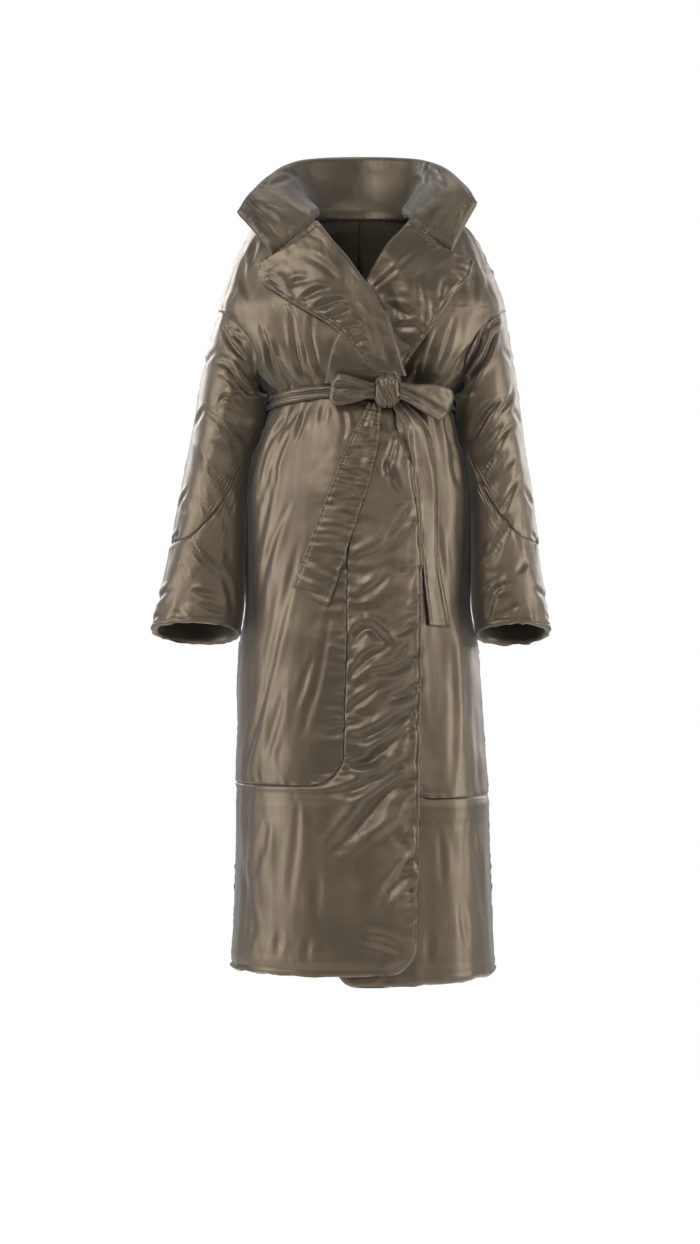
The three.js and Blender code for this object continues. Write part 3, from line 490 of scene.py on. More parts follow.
class Rumple:
    """Repeatable soft noise on a plane, for the unevenness of cloth."""

    def __init__(self, seed: int) -> None:
        """Draws the directions of the noise's lattice."""
        self.size = 256
        angles = np.random.default_rng(seed).uniform(0.0, 2.0 * math.pi, (self.size, self.size))
        self.gradients = np.stack([np.cos(angles), np.sin(angles)], axis=-1)

    def noise(self, x: Array, y: Array) -> Array:
        """Smooth noise between about -1 and 1 that changes over a distance of 1."""
        x0, y0 = np.floor(x).astype(int), np.floor(y).astype(int)
        fx, fy = x - x0, y - y0
        sx = fx * fx * fx * (fx * (fx * 6 - 15) + 10)
        sy = fy * fy * fy * (fy * (fy * 6 - 15) + 10)

        def corner(i: int, j: int) -> Array:
            """The share of one corner of the lattice."""
            g = self.gradients[(x0 + i) % self.size, (y0 + j) % self.size]
            return g[..., 0] * (fx - i) + g[..., 1] * (fy - j)

        low = mix(corner(0, 0), corner(1, 0), sx)
        high = mix(corner(0, 1), corner(1, 1), sx)
        return 1.5 * mix(low, high, sy)

    def folds(self, x: Array, y: Array) -> Array:
        """Creases: sharp where the noise changes sign, between 0 and 1."""
        return 1.0 - np.minimum(1.0, np.abs(self.noise(x, y)) * 2.2)


@dataclass(frozen=True)
class Crease:
    """One given fold: points in the plane that it is seen in, half width, and depth.

    A ridge has a negative depth.
    """

    points: tuple[tuple[float, float], ...]
    width: float
    depth: float

    def height(self, x: Array, z: Array) -> Array:
        """How far it moves the cloth out at points of its plane.

        Args:
            x: across.
            z: up.

        Returns:
            The move, with soft shoulders beside the fold that run out at its ends.
        """
        knots = self._curve()
        reach = 5.0 * self.width
        low, high = knots.min(axis=0) - reach, knots.max(axis=0) + reach
        near = (x > low[0]) & (x < high[0]) & (z > low[1]) & (z < high[1])
        height = np.zeros(x.shape)
        if not near.any():
            return height
        px, pz = x[near], z[near]
        parts = np.linalg.norm(np.diff(knots, axis=0), axis=1)
        total = parts.sum()
        nearest = np.full(px.shape, FAR)
        side = np.ones(px.shape)
        along = np.zeros(px.shape)
        start = 0.0
        for i, length in enumerate(parts):
            way = (knots[i + 1] - knots[i]) / length
            from_x, from_z = px - knots[i, 0], pz - knots[i, 1]
            run = np.clip(from_x * way[0] + from_z * way[1], 0.0, length)
            gap = np.hypot(from_x - run * way[0], from_z - run * way[1])
            closer = gap < nearest
            along = np.where(closer, (start + run) / total, along)
            side = np.where(closer, np.sign(way[0] * from_z - way[1] * from_x), side)
            nearest = np.minimum(gap, nearest)
            start += length
        grown = np.sin(math.pi * np.clip(along, 0.0, 1.0)) ** 0.7
        q = nearest / (self.width * (0.5 + 0.5 * grown))
        banks = 0.55 * np.exp(-((q - 1.8) ** 2) / 1.3) * (1.0 + 0.35 * side)
        height[near] = self.depth * grown * (banks - np.exp(-q * q))
        return height

    def _curve(self) -> Array:
        """The fold's line, rounded off between its points."""
        knots = np.array(self.points, dtype=float)
        if len(knots) < 3:
            return knots
        weights = catmull(np.linspace(0.0, 1.0, 4 * len(knots)), len(knots))
        return weights @ knots


def creases(rows: str) -> tuple[Crease, ...]:
    """Creases from rows of width, depth, then x and z of each point."""
    return tuple(Crease(tuple(zip(row[2::2], row[3::2])), row[0], row[1]) for row in numbers(rows))


def graded(length: float, fine: float, coarse: float, starts: bool, ends: bool, reach: float = 15.0) -> Array:
    """Shares from 0 to 1 that lie close together near the ends that ask for it.

    Args:
        length: the real length.
        fine: the spacing near an end.
        coarse: the spacing elsewhere.
        starts: whether the start is fine.
        ends: whether the end is fine.
        reach: how far the fine spacing goes.

    Returns:
        The shares.
    """
    samples = np.linspace(0.0, length, 2000)
    far = np.full_like(samples, FAR)
    near = np.minimum(samples if starts else far, length - samples if ends else far)
    spacing = mix(fine, coarse, smooth((near - reach) / (2.0 * reach)))
    count = np.concatenate([[0.0], np.cumsum(np.diff(samples) / ((spacing[1:] + spacing[:-1]) / 2.0))])
    steps = max(4, int(round(count[-1])))
    return np.interp(np.linspace(0.0, count[-1], steps + 1), count, samples) / length


@dataclass(frozen=True)
class Dress:
    """What a panel's cloth does on its surface, at points of it.

    folds is the cloth's own height, from points and normals. cover says where other cloth lies over it, from
    0 to 1, and press how far it leans out there.
    """

    folds: Callable[[Array, Array], Array]
    cover: Callable[[Array], Array]
    press: Callable[[Array], Array]


@dataclass
class Patch:
    """One panel's place on the coat: a surface over shares across (columns) and along (rows).

    base gives the points and normals at shares. borders are the kinds of the four edges, in the order first
    column, last column, first row, last row. tight is how strongly each of them puckers the cloth beside it.
    """

    name: str
    base: Callable[[Array, Array], tuple[Array, Array]]
    dress: Dress
    borders: tuple[Border, Border, Border, Border]
    width: float
    length: float
    ring: bool = False
    seed: int = 0
    tight: tuple[float, float, float, float] = (1.0, 1.0, 1.0, 1.3)
    swell: Array | None = field(default=None, repr=False)

    def grid(self, across: Array, along: Array) -> tuple[Array, Array]:
        """Base points and normals over a grid of shares."""
        s, r = np.meshgrid(across, along, indexing="ij")
        return self.base(s, r)


def spans(points: Array, ring: bool) -> tuple[Array, Array, Array, Array]:
    """The distances of every point of a grid from its four borders, along the grid's lines."""
    steps_s = np.linalg.norm(np.diff(points, axis=0), axis=-1)
    steps_r = np.linalg.norm(np.diff(points, axis=1), axis=-1)
    s = np.concatenate([np.zeros((1, points.shape[1])), np.cumsum(steps_s, axis=0)])
    r = np.concatenate([np.zeros((points.shape[0], 1)), np.cumsum(steps_r, axis=1)], axis=1)
    if ring:
        far = np.full_like(s, FAR)
        return far, far, r, r[:, -1:] - r
    return s, s[-1:] - s, r, r[:, -1:] - r


def evened(values: Array, axis: int, passes: int = 36) -> Array:
    """Blurs a grid of values along one of its axes."""
    out = np.moveaxis(values, axis, 0).copy()
    for _ in range(passes):
        out[1:-1] = (out[:-2] + 2.0 * out[1:-1] + out[2:]) / 4.0
    return np.moveaxis(out, 0, axis)


def bridged(values: Array, levels: Array, reach: float = 18.0) -> Array:
    """Reads values straight across the level of the armholes' top, where a panel's rows crowd together.

    Args:
        values: a grid of vectors, with rows that run upwards.
        levels: the height of each place of the grid.
        reach: how far above and below that level the values are replaced.

    Returns:
        The values.
    """
    out = values.copy()
    for column, heights in enumerate(levels):
        near = np.abs(heights - ARMHOLE_TOP) < reach
        if near.any() and not near.all():
            for axis in range(values.shape[2]):
                kept = values[column, ~near, axis]
                out[column, near, axis] = np.interp(heights[near], heights[~near], kept)
    return out


def quarter(distance: Array, reach: float) -> Array:
    """How far a rounded edge has dropped, from 1 at the edge to 0 inside."""
    t = np.clip(distance / reach, 0.0, 1.0)
    return 1.0 - np.sqrt(1.0 - (1.0 - t) ** 2)


@dataclass(frozen=True)
class WallShape:
    """How a padded wall rounds off: into a seam, or over a turned and stitched free edge."""

    seam_reach: float = 7.0
    seam_drop: float = 0.4
    edge_reach: float = 4.0
    stitch_inset: float = 7.0
    stitch_depth: float = 1.2
    stitch_width: float = 1.5

    def outer(self, distance: Array, kind: Border) -> Array:
        """How far the outer face drops at a distance from a border."""
        if kind is Border.PLAIN:
            return np.zeros_like(distance)
        if kind is Border.SEAM:
            return -(self.seam_drop + WALL_PUFF) * quarter(distance, self.seam_reach)
        drop = -(WALL / 2.0 - EDGE_LEFT + WALL_PUFF) * quarter(distance, self.edge_reach)
        stitch = -self.stitch_depth * bell((distance - self.stitch_inset) / self.stitch_width)
        return drop + stitch

    def inner(self, distance: Array, kind: Border) -> Array:
        """How far the inner face rises at a distance from a border."""
        if kind is not Border.EDGE:
            return np.zeros_like(distance)
        return (WALL / 2.0 - EDGE_LEFT) * quarter(distance, self.edge_reach)


SHAPE = WallShape()


@dataclass(frozen=True)
class Crumple:
    """The fine life of the cloth: puckers across each seam, fine creases, and soft dents."""

    pucker_height: float = 1.35
    pucker_reach: float = 15.0
    pucker_period: float = 9.0
    drag_height: float = 0.9
    edge_pull: float = 2.0
    drag_reach: float = 42.0
    drag_period: float = 24.0
    dent_height: float = 1.8
    dent_size: float = 70.0
    crease_height: float = 0.45
    crease_size: float = 40.0

    def height(self, patch: Patch, s: Array, r: Array, reach: tuple[Array, ...]) -> Array:
        """The cloth's unevenness over a grid.

        Args:
            patch: the panel.
            s: distance across, in millimetres.
            r: distance along, in millimetres.
            reach: the distances from the four borders.

        Returns:
            How far the cloth moves out.
        """
        rumple = Rumple(patch.seed)
        dents = rumple.noise(s / self.dent_size, r / (1.6 * self.dent_size)) * self.dent_height
        bend = 14.0 * rumple.noise(s / 60.0 + 9.0, r / 60.0)
        fine = rumple.folds((s + bend) / self.crease_size, (r + 0.6 * s) / (3.4 * self.crease_size)) ** 4
        height = dents - self.crease_height * fine
        for distance, kind, run, tight in zip(reach, patch.borders, (r, r, s, s), patch.tight):
            if kind is Border.PLAIN:
                continue
            pull = self.edge_pull if kind is Border.EDGE else 1.0
            near = np.exp(-distance / self.pucker_reach) * smooth(distance / 5.0 + 0.25)
            warp = 5.0 * rumple.noise(run / 33.0, distance / 40.0)
            wave = rumple.noise((run + warp) / self.pucker_period, distance / 70.0 + 3.0)
            uneven = 0.45 + 0.75 * smooth(0.5 + rumple.noise(run / 55.0, distance * 0.0 + 21.0))
            height = height + self.pucker_height * 2.0 * near * wave * uneven * tight
            drag = rumple.noise((run + warp + 0.35 * distance) / self.drag_period, distance / 90.0 + 11.0)
            drawn = np.exp(-distance / self.drag_reach) * drag * uneven * pull
            height = height + self.drag_height * 2.0 * drawn
        return height

    def flutter(self, patch: Patch, points: Array, s: Array, r: Array, reach: tuple[Array, ...]) -> Array:
        """How a free edge wanders in the plane of the cloth.

        Args:
            patch: the panel.
            points: its base points.
            s: distance across, in millimetres.
            r: distance along, in millimetres.
            reach: the distances from the four borders.

        Returns:
            The move of every point.
        """
        rumple = Rumple(patch.seed + 200)
        move = np.zeros_like(points)
        ways = (points[:1] - points[1:2], points[-1:] - points[-2:-1],
                points[:, :1] - points[:, 1:2], points[:, -1:] - points[:, -2:-1])
        for distance, kind, run, way in zip(reach, patch.borders, (r, r, s, s), ways):
            if kind is not Border.EDGE:
                continue
            turn = 2.0 * math.pi * run / max(float(run.max()), 1.0)
            lap = turn if patch.ring else run / 40.0
            around = np.cos(lap) * 3.0 if patch.ring else run / 34.0
            beside = np.sin(lap) * 3.0 if patch.ring else 0.0 * run
            wave = 2.6 * rumple.noise(around, beside + 2.0)
            wave = wave + 1.1 * rumple.noise(around * 3.4, beside * 3.4 + 9.0)
            fades = bell(distance / 16.0)
            move = move + unit(way) * (wave * fades - 1.0)[..., None] * fades[..., None]
        return move


CRUMPLE = Crumple()


def catmull(shares: Array, count: int) -> Array:
    """Weights that read a smooth curve through evenly spaced values at any shares.

    Args:
        shares: where to read, from 0 to 1.
        count: how many values there are.

    Returns:
        One row of weights for each share.
    """
    at = np.clip(shares, 0.0, 1.0) * (count - 1)
    i = np.clip(np.floor(at).astype(int), 0, count - 2)
    t = at - i
    weights = np.zeros((len(shares), count))
    terms = (
        (-1, -0.5 * t + t * t - 0.5 * t ** 3),
        (0, 1.0 - 2.5 * t * t + 1.5 * t ** 3),
        (1, 0.5 * t + 2.0 * t * t - 1.5 * t ** 3),
        (2, -0.5 * t * t + 0.5 * t ** 3),
    )
    rows = np.arange(len(shares))
    for offset, weight in terms:
        np.add.at(weights, (rows, np.clip(i + offset, 0, count - 1)), weight)
    return weights


BAND_FOLDS = creases("""
    7 3.5 -19 -638 11 -609 45 -639, 4 2 61 -532 90 -517, 6 3 40 -617 65 -612 91 -594,
    6 3 -19 -684 11 -652 43 -635, 6 3 11 -673 55 -667 90 -641, 7 3.5 36 -713 65 -705 91 -684,
    5 2.5 -22 -731 11 -707 31 -690, 8 4.5 -22 -766 2 -768 31 -757 58 -738 87 -719,
    8 4.5 -21 -805 7 -805 31 -786 53 -767 85 -748, 8 4 -47 -847 -12 -844 21 -831 52 -808 85 -792,
    11 6.5 -50 -940 -15 -908 20 -867 52 -838 85 -829, 8 4.5 20 -1024 47 -986 81 -959,
    6 3.5 34 -993 53 -966 84 -938, 3 2 55 -919 71 -911 87 -911, 3 1.8 52 -925 72 -921, 3 2 63 -993 85 -988,
    4 1.8 61 -1011 84 -1002, 6 2 0 -1060 31 -1065 61 -1079, 6 2.5 -12 -568 17 -554 46 -527,
    8 3 -12 -510 26 -498 65 -466 84 -440, 5 2.2 34 -481 55 -452 72 -430, 6 2.5 33 -358 46 -391 58 -411,
    5 2.5 52 -324 40 -368 34 -391, 7 -2.5 -15 -815 29 -815 65 -789, 9 -3 0 -919 46 -887 84 -858,
    5 2 55 -880 75 -861 87 -851, 5 2 43 -655 69 -633, 4 1.8 66 -574 92 -562, 4 1.8 63 -774 87 -764,
    4 2 61 -812 87 -803, 3 1.6 66 -1040 82 -1030
""")
FRONT_FOLDS = creases("""
    5 2.2 -132 -682 -158 -779 -168 -838, 6 2 -111 -699 -137 -801, 5 1.8 -102 -422 -135 -510 -149 -597,
    6 2 -88 -480 -114 -597 -143 -714, 5 1.8 -65 -641 -94 -728, 5 2 -143 -335 -158 -393 -162 -451,
    5 2 -123 -378 -140 -451 -152 -531, 4 1.6 -148 -422 -142 -416, 6 1.8 -44 -583 -62 -685 -88 -775,
    6 2 -135 -889 -143 -932 -164 -991, 6 1.8 -88 -860 -94 -932 -102 -1005,
    5 1.6 -161 -1013 -156 -1049 -165 -1081, 6 1.8 -175 -947 -167 -1005, 7 1.8 -59 -962 -65 -1034,
    5 1.6 -116 -1049 -121 -1090, 5 1.8 -73 -1056 -79 -1096, 5 2.4 132 -352 147 -402,
    6 2 160 -422 166 -510 163 -626, 6 1.8 134 -626 138 -743 132 -845, 5 1.8 169 -714 175 -801 172 -860,
    6 2 163 -903 177 -976 183 -1049, 5 1.6 116 -903 122 -991, 5 1.8 148 -1013 157 -1078,
    5 1.6 102 -1049 99 -1100, 4 2 116 -451 118 -492 125 -539, 5 2.2 -168 -50 -172 -94 -161 -128,
    5 2 -152 -31 -162 -75, 5 2.2 154 -43 166 -75 172 -131, 5 2 169 -75 180 -104,
    6 2.4 175 -192 151 -212 134 -247, 4.5 3 -145 -160 -132 -212 -111 -262,
    4 3.2 -81 -250 -93 -205 -100 -151 -109 -129, 4 3.2 -56 -252 -66 -217 -72 -180 -71 -147,
    4 3.4 -110 -262 -128 -224 -136 -177, 4 2.4 -100 -261 -116 -226 -131 -202,
    3.5 2.4 -69 -252 -76 -220 -84 -188, 4 3 95 -249 102 -205 114 -167, 4 2.6 80 -246 89 -211,
    4 3 111 -234 125 -198 140 -147, 4 2.8 131 -246 149 -210 166 -190, 3.5 3.4 -79 -284 -93 -337,
    4 3 -106 -293 -135 -341 -147 -395, 4 2.8 -98 -305 -122 -366 -122 -404, 3.5 2.4 -53 -280 -57 -312,
    3.5 2.4 -30 -278 -21 -310 -24 -334, 3.5 2.2 -88 -287 -123 -334, 4 2.6 -135 -290 -152 -331,
    4 2.4 134 -281 155 -334 160 -378, 3.5 2.2 122 -293 134 -334, 3.5 2.6 51 -281 55 -319 67 -348,
    4 2.4 76 -281 64 -302
""")
LAPEL_FOLDS = {Side.RIGHT: creases("""
    5 2.6 -137 -93 -117 -109 -113 -132, 4.5 2.6 -108 -117 -92 -104 -75 -103, 5 3 -88 -132 -63 -119 -43 -116,
    5 3 -72 -147 -37 -133 -19 -132, 5 3 -53 -161 -27 -151 -12 -145, 4 2.4 -32 -177 -12 -168 2 -170,
    7 2 14 -152 30 -189 42 -227, 6 1.8 -12 -131 11 -174 26 -212, 4 2 -12 -196 2 -189 11 -192,
    6 1.6 -88 -61 -59 -75 -30 -101, 3 1.8 -22 -186 -12 -182, 3 1.6 -44 -171 -31 -163,
    3 1.6 -102 -135 -92 -128
"""), Side.LEFT: creases("""
    3 1.8 14 -116 62 -76 84 -54, 6 2.6 42 -106 48 -144 43 -176, 5 3.4 79 -99 84 -132 87 -165,
    5 2.8 49 -168 80 -169 96 -185, 5 2.6 35 -135 61 -147 84 -168, 5 2.4 121 -97 116 -130,
    5 2.6 131 -86 149 -105 131 -131, 4 2 95 -118 105 -138 102 -162, 4 2 58 -188 76 -197,
    4 1.8 52 -121 64 -130, 3 1.6 119 -147 131 -138, 3 1.6 102 -170 114 -162, 3 1.6 134 -118 143 -111
""")}
COLLAR_FOLDS = creases("""
    5 2 -138 45 -119 55 -101 67, 4 1.8 -154 40 -137 61, 5 1.8 -116 76 -95 67, 6 1.6 -145 5 -119 -13,
    5 1.6 -160 18 -139 2, 5 1.8 83 73 95 55, 5 1.6 112 67 127 40, 6 1.6 118 11 95 -22, 4 1.6 101 85 118 67,
    3 1.6 -169 -4 -151 -31, 3 1.4 151 2 136 -28
""")
SLEEVE_FOLDS = {
    Side.RIGHT: creases("""
        4 4.5 -201 -161 -190 -190 -167 -214, 3.5 3 -190 -171 -173 -187,
        4.5 5 -216 -214 -197 -220 -181 -242 -160 -267, 4 3.2 -212 -229 -192 -242 -176 -266,
        3.5 3.4 -207 -276 -197 -267 -176 -286, 3 2.6 -190 -269 -182 -264 -173 -281,
        4 4 -232 -282 -206 -306 -186 -340 -174 -372, 3.5 2.6 -200 -300 -184 -318 -170 -334,
        3.5 2.6 -212 -368 -190 -387, 3.5 2.8 -213 -390 -195 -409, 3.5 2.8 -231 -420 -204 -439,
        4 4.2 -252 -473 -234 -504 -198 -536, 3.5 2.4 -237 -486 -215 -513 -198 -528, 4 2 -246 -553 -213 -563,
        4 2 -237 -573 -198 -587, 4 3.6 -238 -352 -214 -384 -194 -420 -186 -452,
        6 2 -258 -331 -243 -353 -231 -383, 5 1.8 -219 -331 -201 -354, 5 1.8 -272 -420 -255 -440,
        4 2 -261 -508 -252 -538, 4 2 -228 -457 -210 -476, 5 2.4 -178 -124 -184 -150 -178 -176,
        4 2.4 -187 -109 -198 -142, 6 1.8 -269 -582 -252 -600, 3.5 2 -201 -491 -190 -508,
        4 3 -244 -404 -222 -442 -206 -488, 4 2.6 -206 -520 -192 -560 -188 -600, 3.5 2 -195 -346 -178 -363
    """),
    Side.LEFT: creases("""
        4.5 5 192 -146 183 -168 170 -205 151 -244, 3.5 3 210 -150 195 -159 188 -171,
        4.5 4.4 201 -162 186 -205 167 -236 145 -278, 4 3.4 183 -207 164 -251 148 -301,
        4.5 5 217 -264 192 -286 173 -318 157 -350, 4 3.2 228 -242 222 -266 198 -298,
        4 3.2 210 -304 192 -331 177 -354, 4 3 210 -349 188 -369 173 -384, 3.5 2.6 207 -386 186 -408 173 -421,
        4 3.4 223 -448 210 -473 192 -505 179 -519, 3.5 2.6 211 -483 199 -508 185 -520,
        3.5 2.4 202 -535 185 -550 179 -557, 4 2.2 225 -541 189 -557, 4 2 233 -573 207 -593,
        3.5 2.4 174 -189 160 -221 149 -239, 5 2 236 -331 248 -375 254 -420, 5 1.8 219 -420 201 -437,
        4 2 162 -124 165 -168 154 -201, 5 1.8 245 -508 228 -530, 5 2 162 -331 157 -375 162 -405,
        4 3.6 232 -300 206 -330 186 -372 176 -410, 4 3.2 236 -380 214 -420 194 -462,
        4 2.6 214 -520 196 -562 188 -600, 4 2.2 186 -479 174 -496, 3.5 2 229 -353 211 -378
    """),
}
SLEEVE_SIDE_FOLDS = creases("""
    6 2.6 -52 -196 -20 -214 14 -206, 5 2.2 40 -232 12 -252 -20 -250, 6 2.4 -58 -284 -22 -312,
    5 2.4 48 -300 18 -332 -8 -338, 7 2.2 -30 -360 6 -398 30 -446, 5 2.2 -64 -402 -40 -436,
    6 2.4 38 -392 14 -424 -22 -440, 5 2 -70 -470 -36 -492, 6 2.2 -96 -548 -62 -566 -26 -560,
    6 2.2 6 -508 -20 -546 -30 -588, 5 2 -84 -590 -58 -604, 5 2 22 -168 -12 -158
""")
BACK_FOLDS = creases("""
    6 2.6 -120 -300 -132 -345 -128 -400, 5 2.4 -88 -300 -96 -352 -110 -402, 5 2.6 -40 -300 -44 -350 -38 -392,
    6 2.8 12 -298 18 -350 10 -420, 5 2.4 52 -302 60 -345 74 -380, 5 2.6 98 -300 112 -350 116 -392,
    5 2.6 -104 -262 -98 -220 -108 -176, 5 2.4 -58 -262 -50 -214 -54 -166, 6 2.6 -8 -262 -14 -205 -4 -150,
    5 2.4 40 -262 44 -220 36 -182, 5 2.6 84 -262 92 -210 108 -168, 6 2.4 -168 -130 -140 -170 -122 -214,
    6 2.2 172 -128 150 -164 128 -208, 5 2 -150 -100 -120 -128 -88 -140, 5 2 156 -96 122 -122 96 -150,
    6 1.8 -60 -30 -30 -48 20 -46, 6 2 -140 -440 -128 -520 -136 -600, 6 1.8 -70 -450 -62 -540 -74 -640,
    7 2 20 -470 30 -560 22 -660, 6 1.8 96 -440 108 -530 100 -620, 6 2 150 -480 158 -560 150 -650,
    6 1.8 -118 -690 -108 -760 -114 -826, 6 1.6 60 -700 66 -770 58 -830, 6 1.8 -40 -880 -30 -960 -42 -1040,
    6 1.8 110 -890 118 -970 108 -1060, 7 1.8 30 -900 38 -980 28 -1070, 5 1.6 -140 -900 -134 -980 -142 -1060,
    4 1.6 -100 -1060 -104 -1100, 4 1.6 70 -1066 66 -1104, 5 1.8 4 -728 -8 -780 6 -820
""")


def mirrored(folds: Sequence[Crease]) -> tuple[Crease, ...]:
    """The same folds on the other side of the coat."""
    return tuple(Crease(tuple((-x, z) for x, z in fold.points), fold.width, fold.depth) for fold in folds)


def total_height(folds: Sequence[Crease], x: Array, z: Array) -> Array:
    """The height that all of the folds add up to."""
    height = np.zeros(x.shape)
    for fold in folds:
        height += fold.height(x, z)
    return height


def inside(outline: Array, x: Array, z: Array, soft: float) -> Array:
    """How far points lie inside an outline, from 0 at its edge to 1 from a soft distance on."""
    within = np.zeros(x.shape, dtype=bool)
    nearest = np.full(x.shape, FAR)
    for (ax, az), (bx, bz) in zip(outline, np.roll(outline, -1, axis=0)):
        crosses = (az > z) != (bz > z)
        rise = bz - az if abs(bz - az) > 1e-9 else 1e-9
        within ^= crosses & (x < ax + (bx - ax) * (z - az) / rise)
        length = max((bx - ax) ** 2 + (bz - az) ** 2, 1e-9)
        t = np.clip(((x - ax) * (bx - ax) + (z - az) * (bz - az)) / length, 0.0, 1.0)
        nearest = np.minimum(nearest, np.hypot(x - ax - t * (bx - ax), z - az - t * (bz - az)))
    return np.where(within, smooth(nearest / soft), 0.0)


def quads(index: Array, ring: bool) -> Array:
    """The faces between the neighbouring points of a numbered grid, columns by rows."""
    nxt = np.roll(index, -1, axis=0) if ring else index[1:]
    cur = index if ring else index[:-1]
    return np.stack([cur[:, :-1], nxt[:, :-1], nxt[:, 1:], cur[:, 1:]], axis=-1).reshape(-1, 4)


class PaddingSim:
    """Blows every sheet up over its padding at once, and lets the spare cloth buckle."""

    SPACING = 7.0
    LEAST_STEPS = 8
    WEIGHT_STEPS = 16.0
    LEAST_GROWTH = 0.004
    MOST_GROWTH = 0.05
    PRESSURE = 4.0
    HOLD = 0.17
    FRAMES = 20
    MOST_OUT = 6.5
    MOST_IN = 2.5
    MOST_ASIDE = 3.5
    FULLER = {"right_front_band": 0.45, "right_sleeve_upper": 0.2, "left_sleeve_upper": 0.2}

    def run(self, patches: Sequence[Patch], heights: Callable[[Patch, Array, Array], Array]) -> None:
        """Simulates all the panels and keeps how far each one's cloth moved.

        Args:
            patches: the panels.
            heights: gives the cloth's height over the base of a panel, from its points and normals.
        """
        sheets: list[tuple[Patch, Array, Array]] = []
        faces: list[Array] = []
        pins: list[Array] = []
        total = 0
        for patch in patches:
            across, along = (np.linspace(0.0, 1.0, max(self.LEAST_STEPS, int(size / self.SPACING)) + 1)
                             for size in (patch.width, patch.length))
            points, normals = patch.grid(across, along)
            start = points + normals * heights(patch, points, normals)[..., None]
            if patch.ring:
                start = start[:-1]
            index = np.arange(start[..., 0].size).reshape(start.shape[:2])
            pin = np.full(index.shape, self.HOLD)
            pin[:, 0] = pin[:, -1] = 1.0
            if not patch.ring:
                pin[0] = pin[-1] = 1.0
            sheets.append((patch, start, normals))
            faces.append(quads(index, patch.ring) + total)
            pins.append(pin.ravel())
            total += index.size
        verts = np.concatenate([start.reshape(-1, 3) for _, start, _ in sheets]) * MM
        grows = np.concatenate([self._growth(patch, start).ravel() for patch, start, _ in sheets])
        moved = self._settle(verts, np.concatenate(faces), np.concatenate(pins), grows) / MM
        for patch, start, ways in sheets:
            after, moved = moved[:start[..., 0].size], moved[start[..., 0].size:]
            move = after.reshape(start.shape) - start
            if patch.ring:
                move = np.concatenate([move, move[:1]])
                ways = np.concatenate([ways[:-1], ways[:1]])
            move = np.stack([soften(move[..., axis], 2) for axis in range(3)], axis=-1)
            out = np.sum(move * ways, axis=-1, keepdims=True)
            side = move - out * ways
            size = np.maximum(np.linalg.norm(side, axis=-1, keepdims=True), 1e-6)
            most = np.where(out > 0, self.MOST_OUT, self.MOST_IN)
            patch.swell = most * np.tanh(out / most) * ways + side * np.minimum(1.0, self.MOST_ASIDE / size)

    def _growth(self, patch: Patch, points: Array) -> Array:
        """Where the cloth is fuller than its padding, from 0 to 1."""
        rumple = Rumple(patch.seed + 100)
        x, y, z = np.moveaxis(points, -1, 0)
        patches = 0.5 + 0.8 * rumple.noise((x + 0.6 * y) / 90.0, z / 120.0)
        full = self.FULLER.get(patch.name, 0.0)
        return np.clip(patches * 0.6 + full, 0.0, 1.0)

    def _settle(self, verts: Array, faces: Array, pins: Array, grows: Array) -> Array:
        """Runs the cloth simulation once and gives the points where they came to rest."""
        mesh = bpy.data.meshes.new("sheets")
        mesh.from_pydata(verts.tolist(), [], faces.tolist())
        sheets = bpy.data.objects.new("sheets", mesh)
        bpy.context.collection.objects.link(sheets)
        group = sheets.vertex_groups.new(name="pin")
        fuller = sheets.vertex_groups.new(name="fuller")
        steps = np.round(grows * self.WEIGHT_STEPS) / self.WEIGHT_STEPS
        for weights, kept in ((pins, group), (steps, fuller)):
            for weight in np.unique(weights):
                kept.add(np.flatnonzero(weights == weight).tolist(), float(weight), "REPLACE")
        cloth = sheets.modifiers.new("cloth", "CLOTH")
        settings = cloth.settings
        settings.quality = 5
        settings.mass = 0.1
        settings.vertex_group_mass = "pin"
        settings.pin_stiffness = 1.0
        settings.tension_stiffness = settings.compression_stiffness = 15.0
        settings.shear_stiffness = 8.0
        settings.bending_stiffness = 0.5
        settings.air_damping = 4.0
        settings.use_pressure = True
        settings.uniform_pressure_force = self.PRESSURE
        settings.vertex_group_shrink = "fuller"
        settings.shrink_min = -self.LEAST_GROWTH
        settings.shrink_max = -self.MOST_GROWTH
        settings.effector_weights.gravity = 0.0
        cloth.collision_settings.use_collision = False
        scene = bpy.context.scene
        cloth.point_cache.frame_start = 1
        cloth.point_cache.frame_end = self.FRAMES
        for frame in range(1, self.FRAMES + 1):
            scene.frame_set(frame)
        ready = sheets.evaluated_get(bpy.context.evaluated_depsgraph_get())
        out = np.empty(len(verts) * 3)
        ready.data.vertices.foreach_get("co", out)
        scene.frame_set(1)
        bpy.data.objects.remove(sheets)
        bpy.data.meshes.remove(mesh)
        return out.reshape(-1, 3)


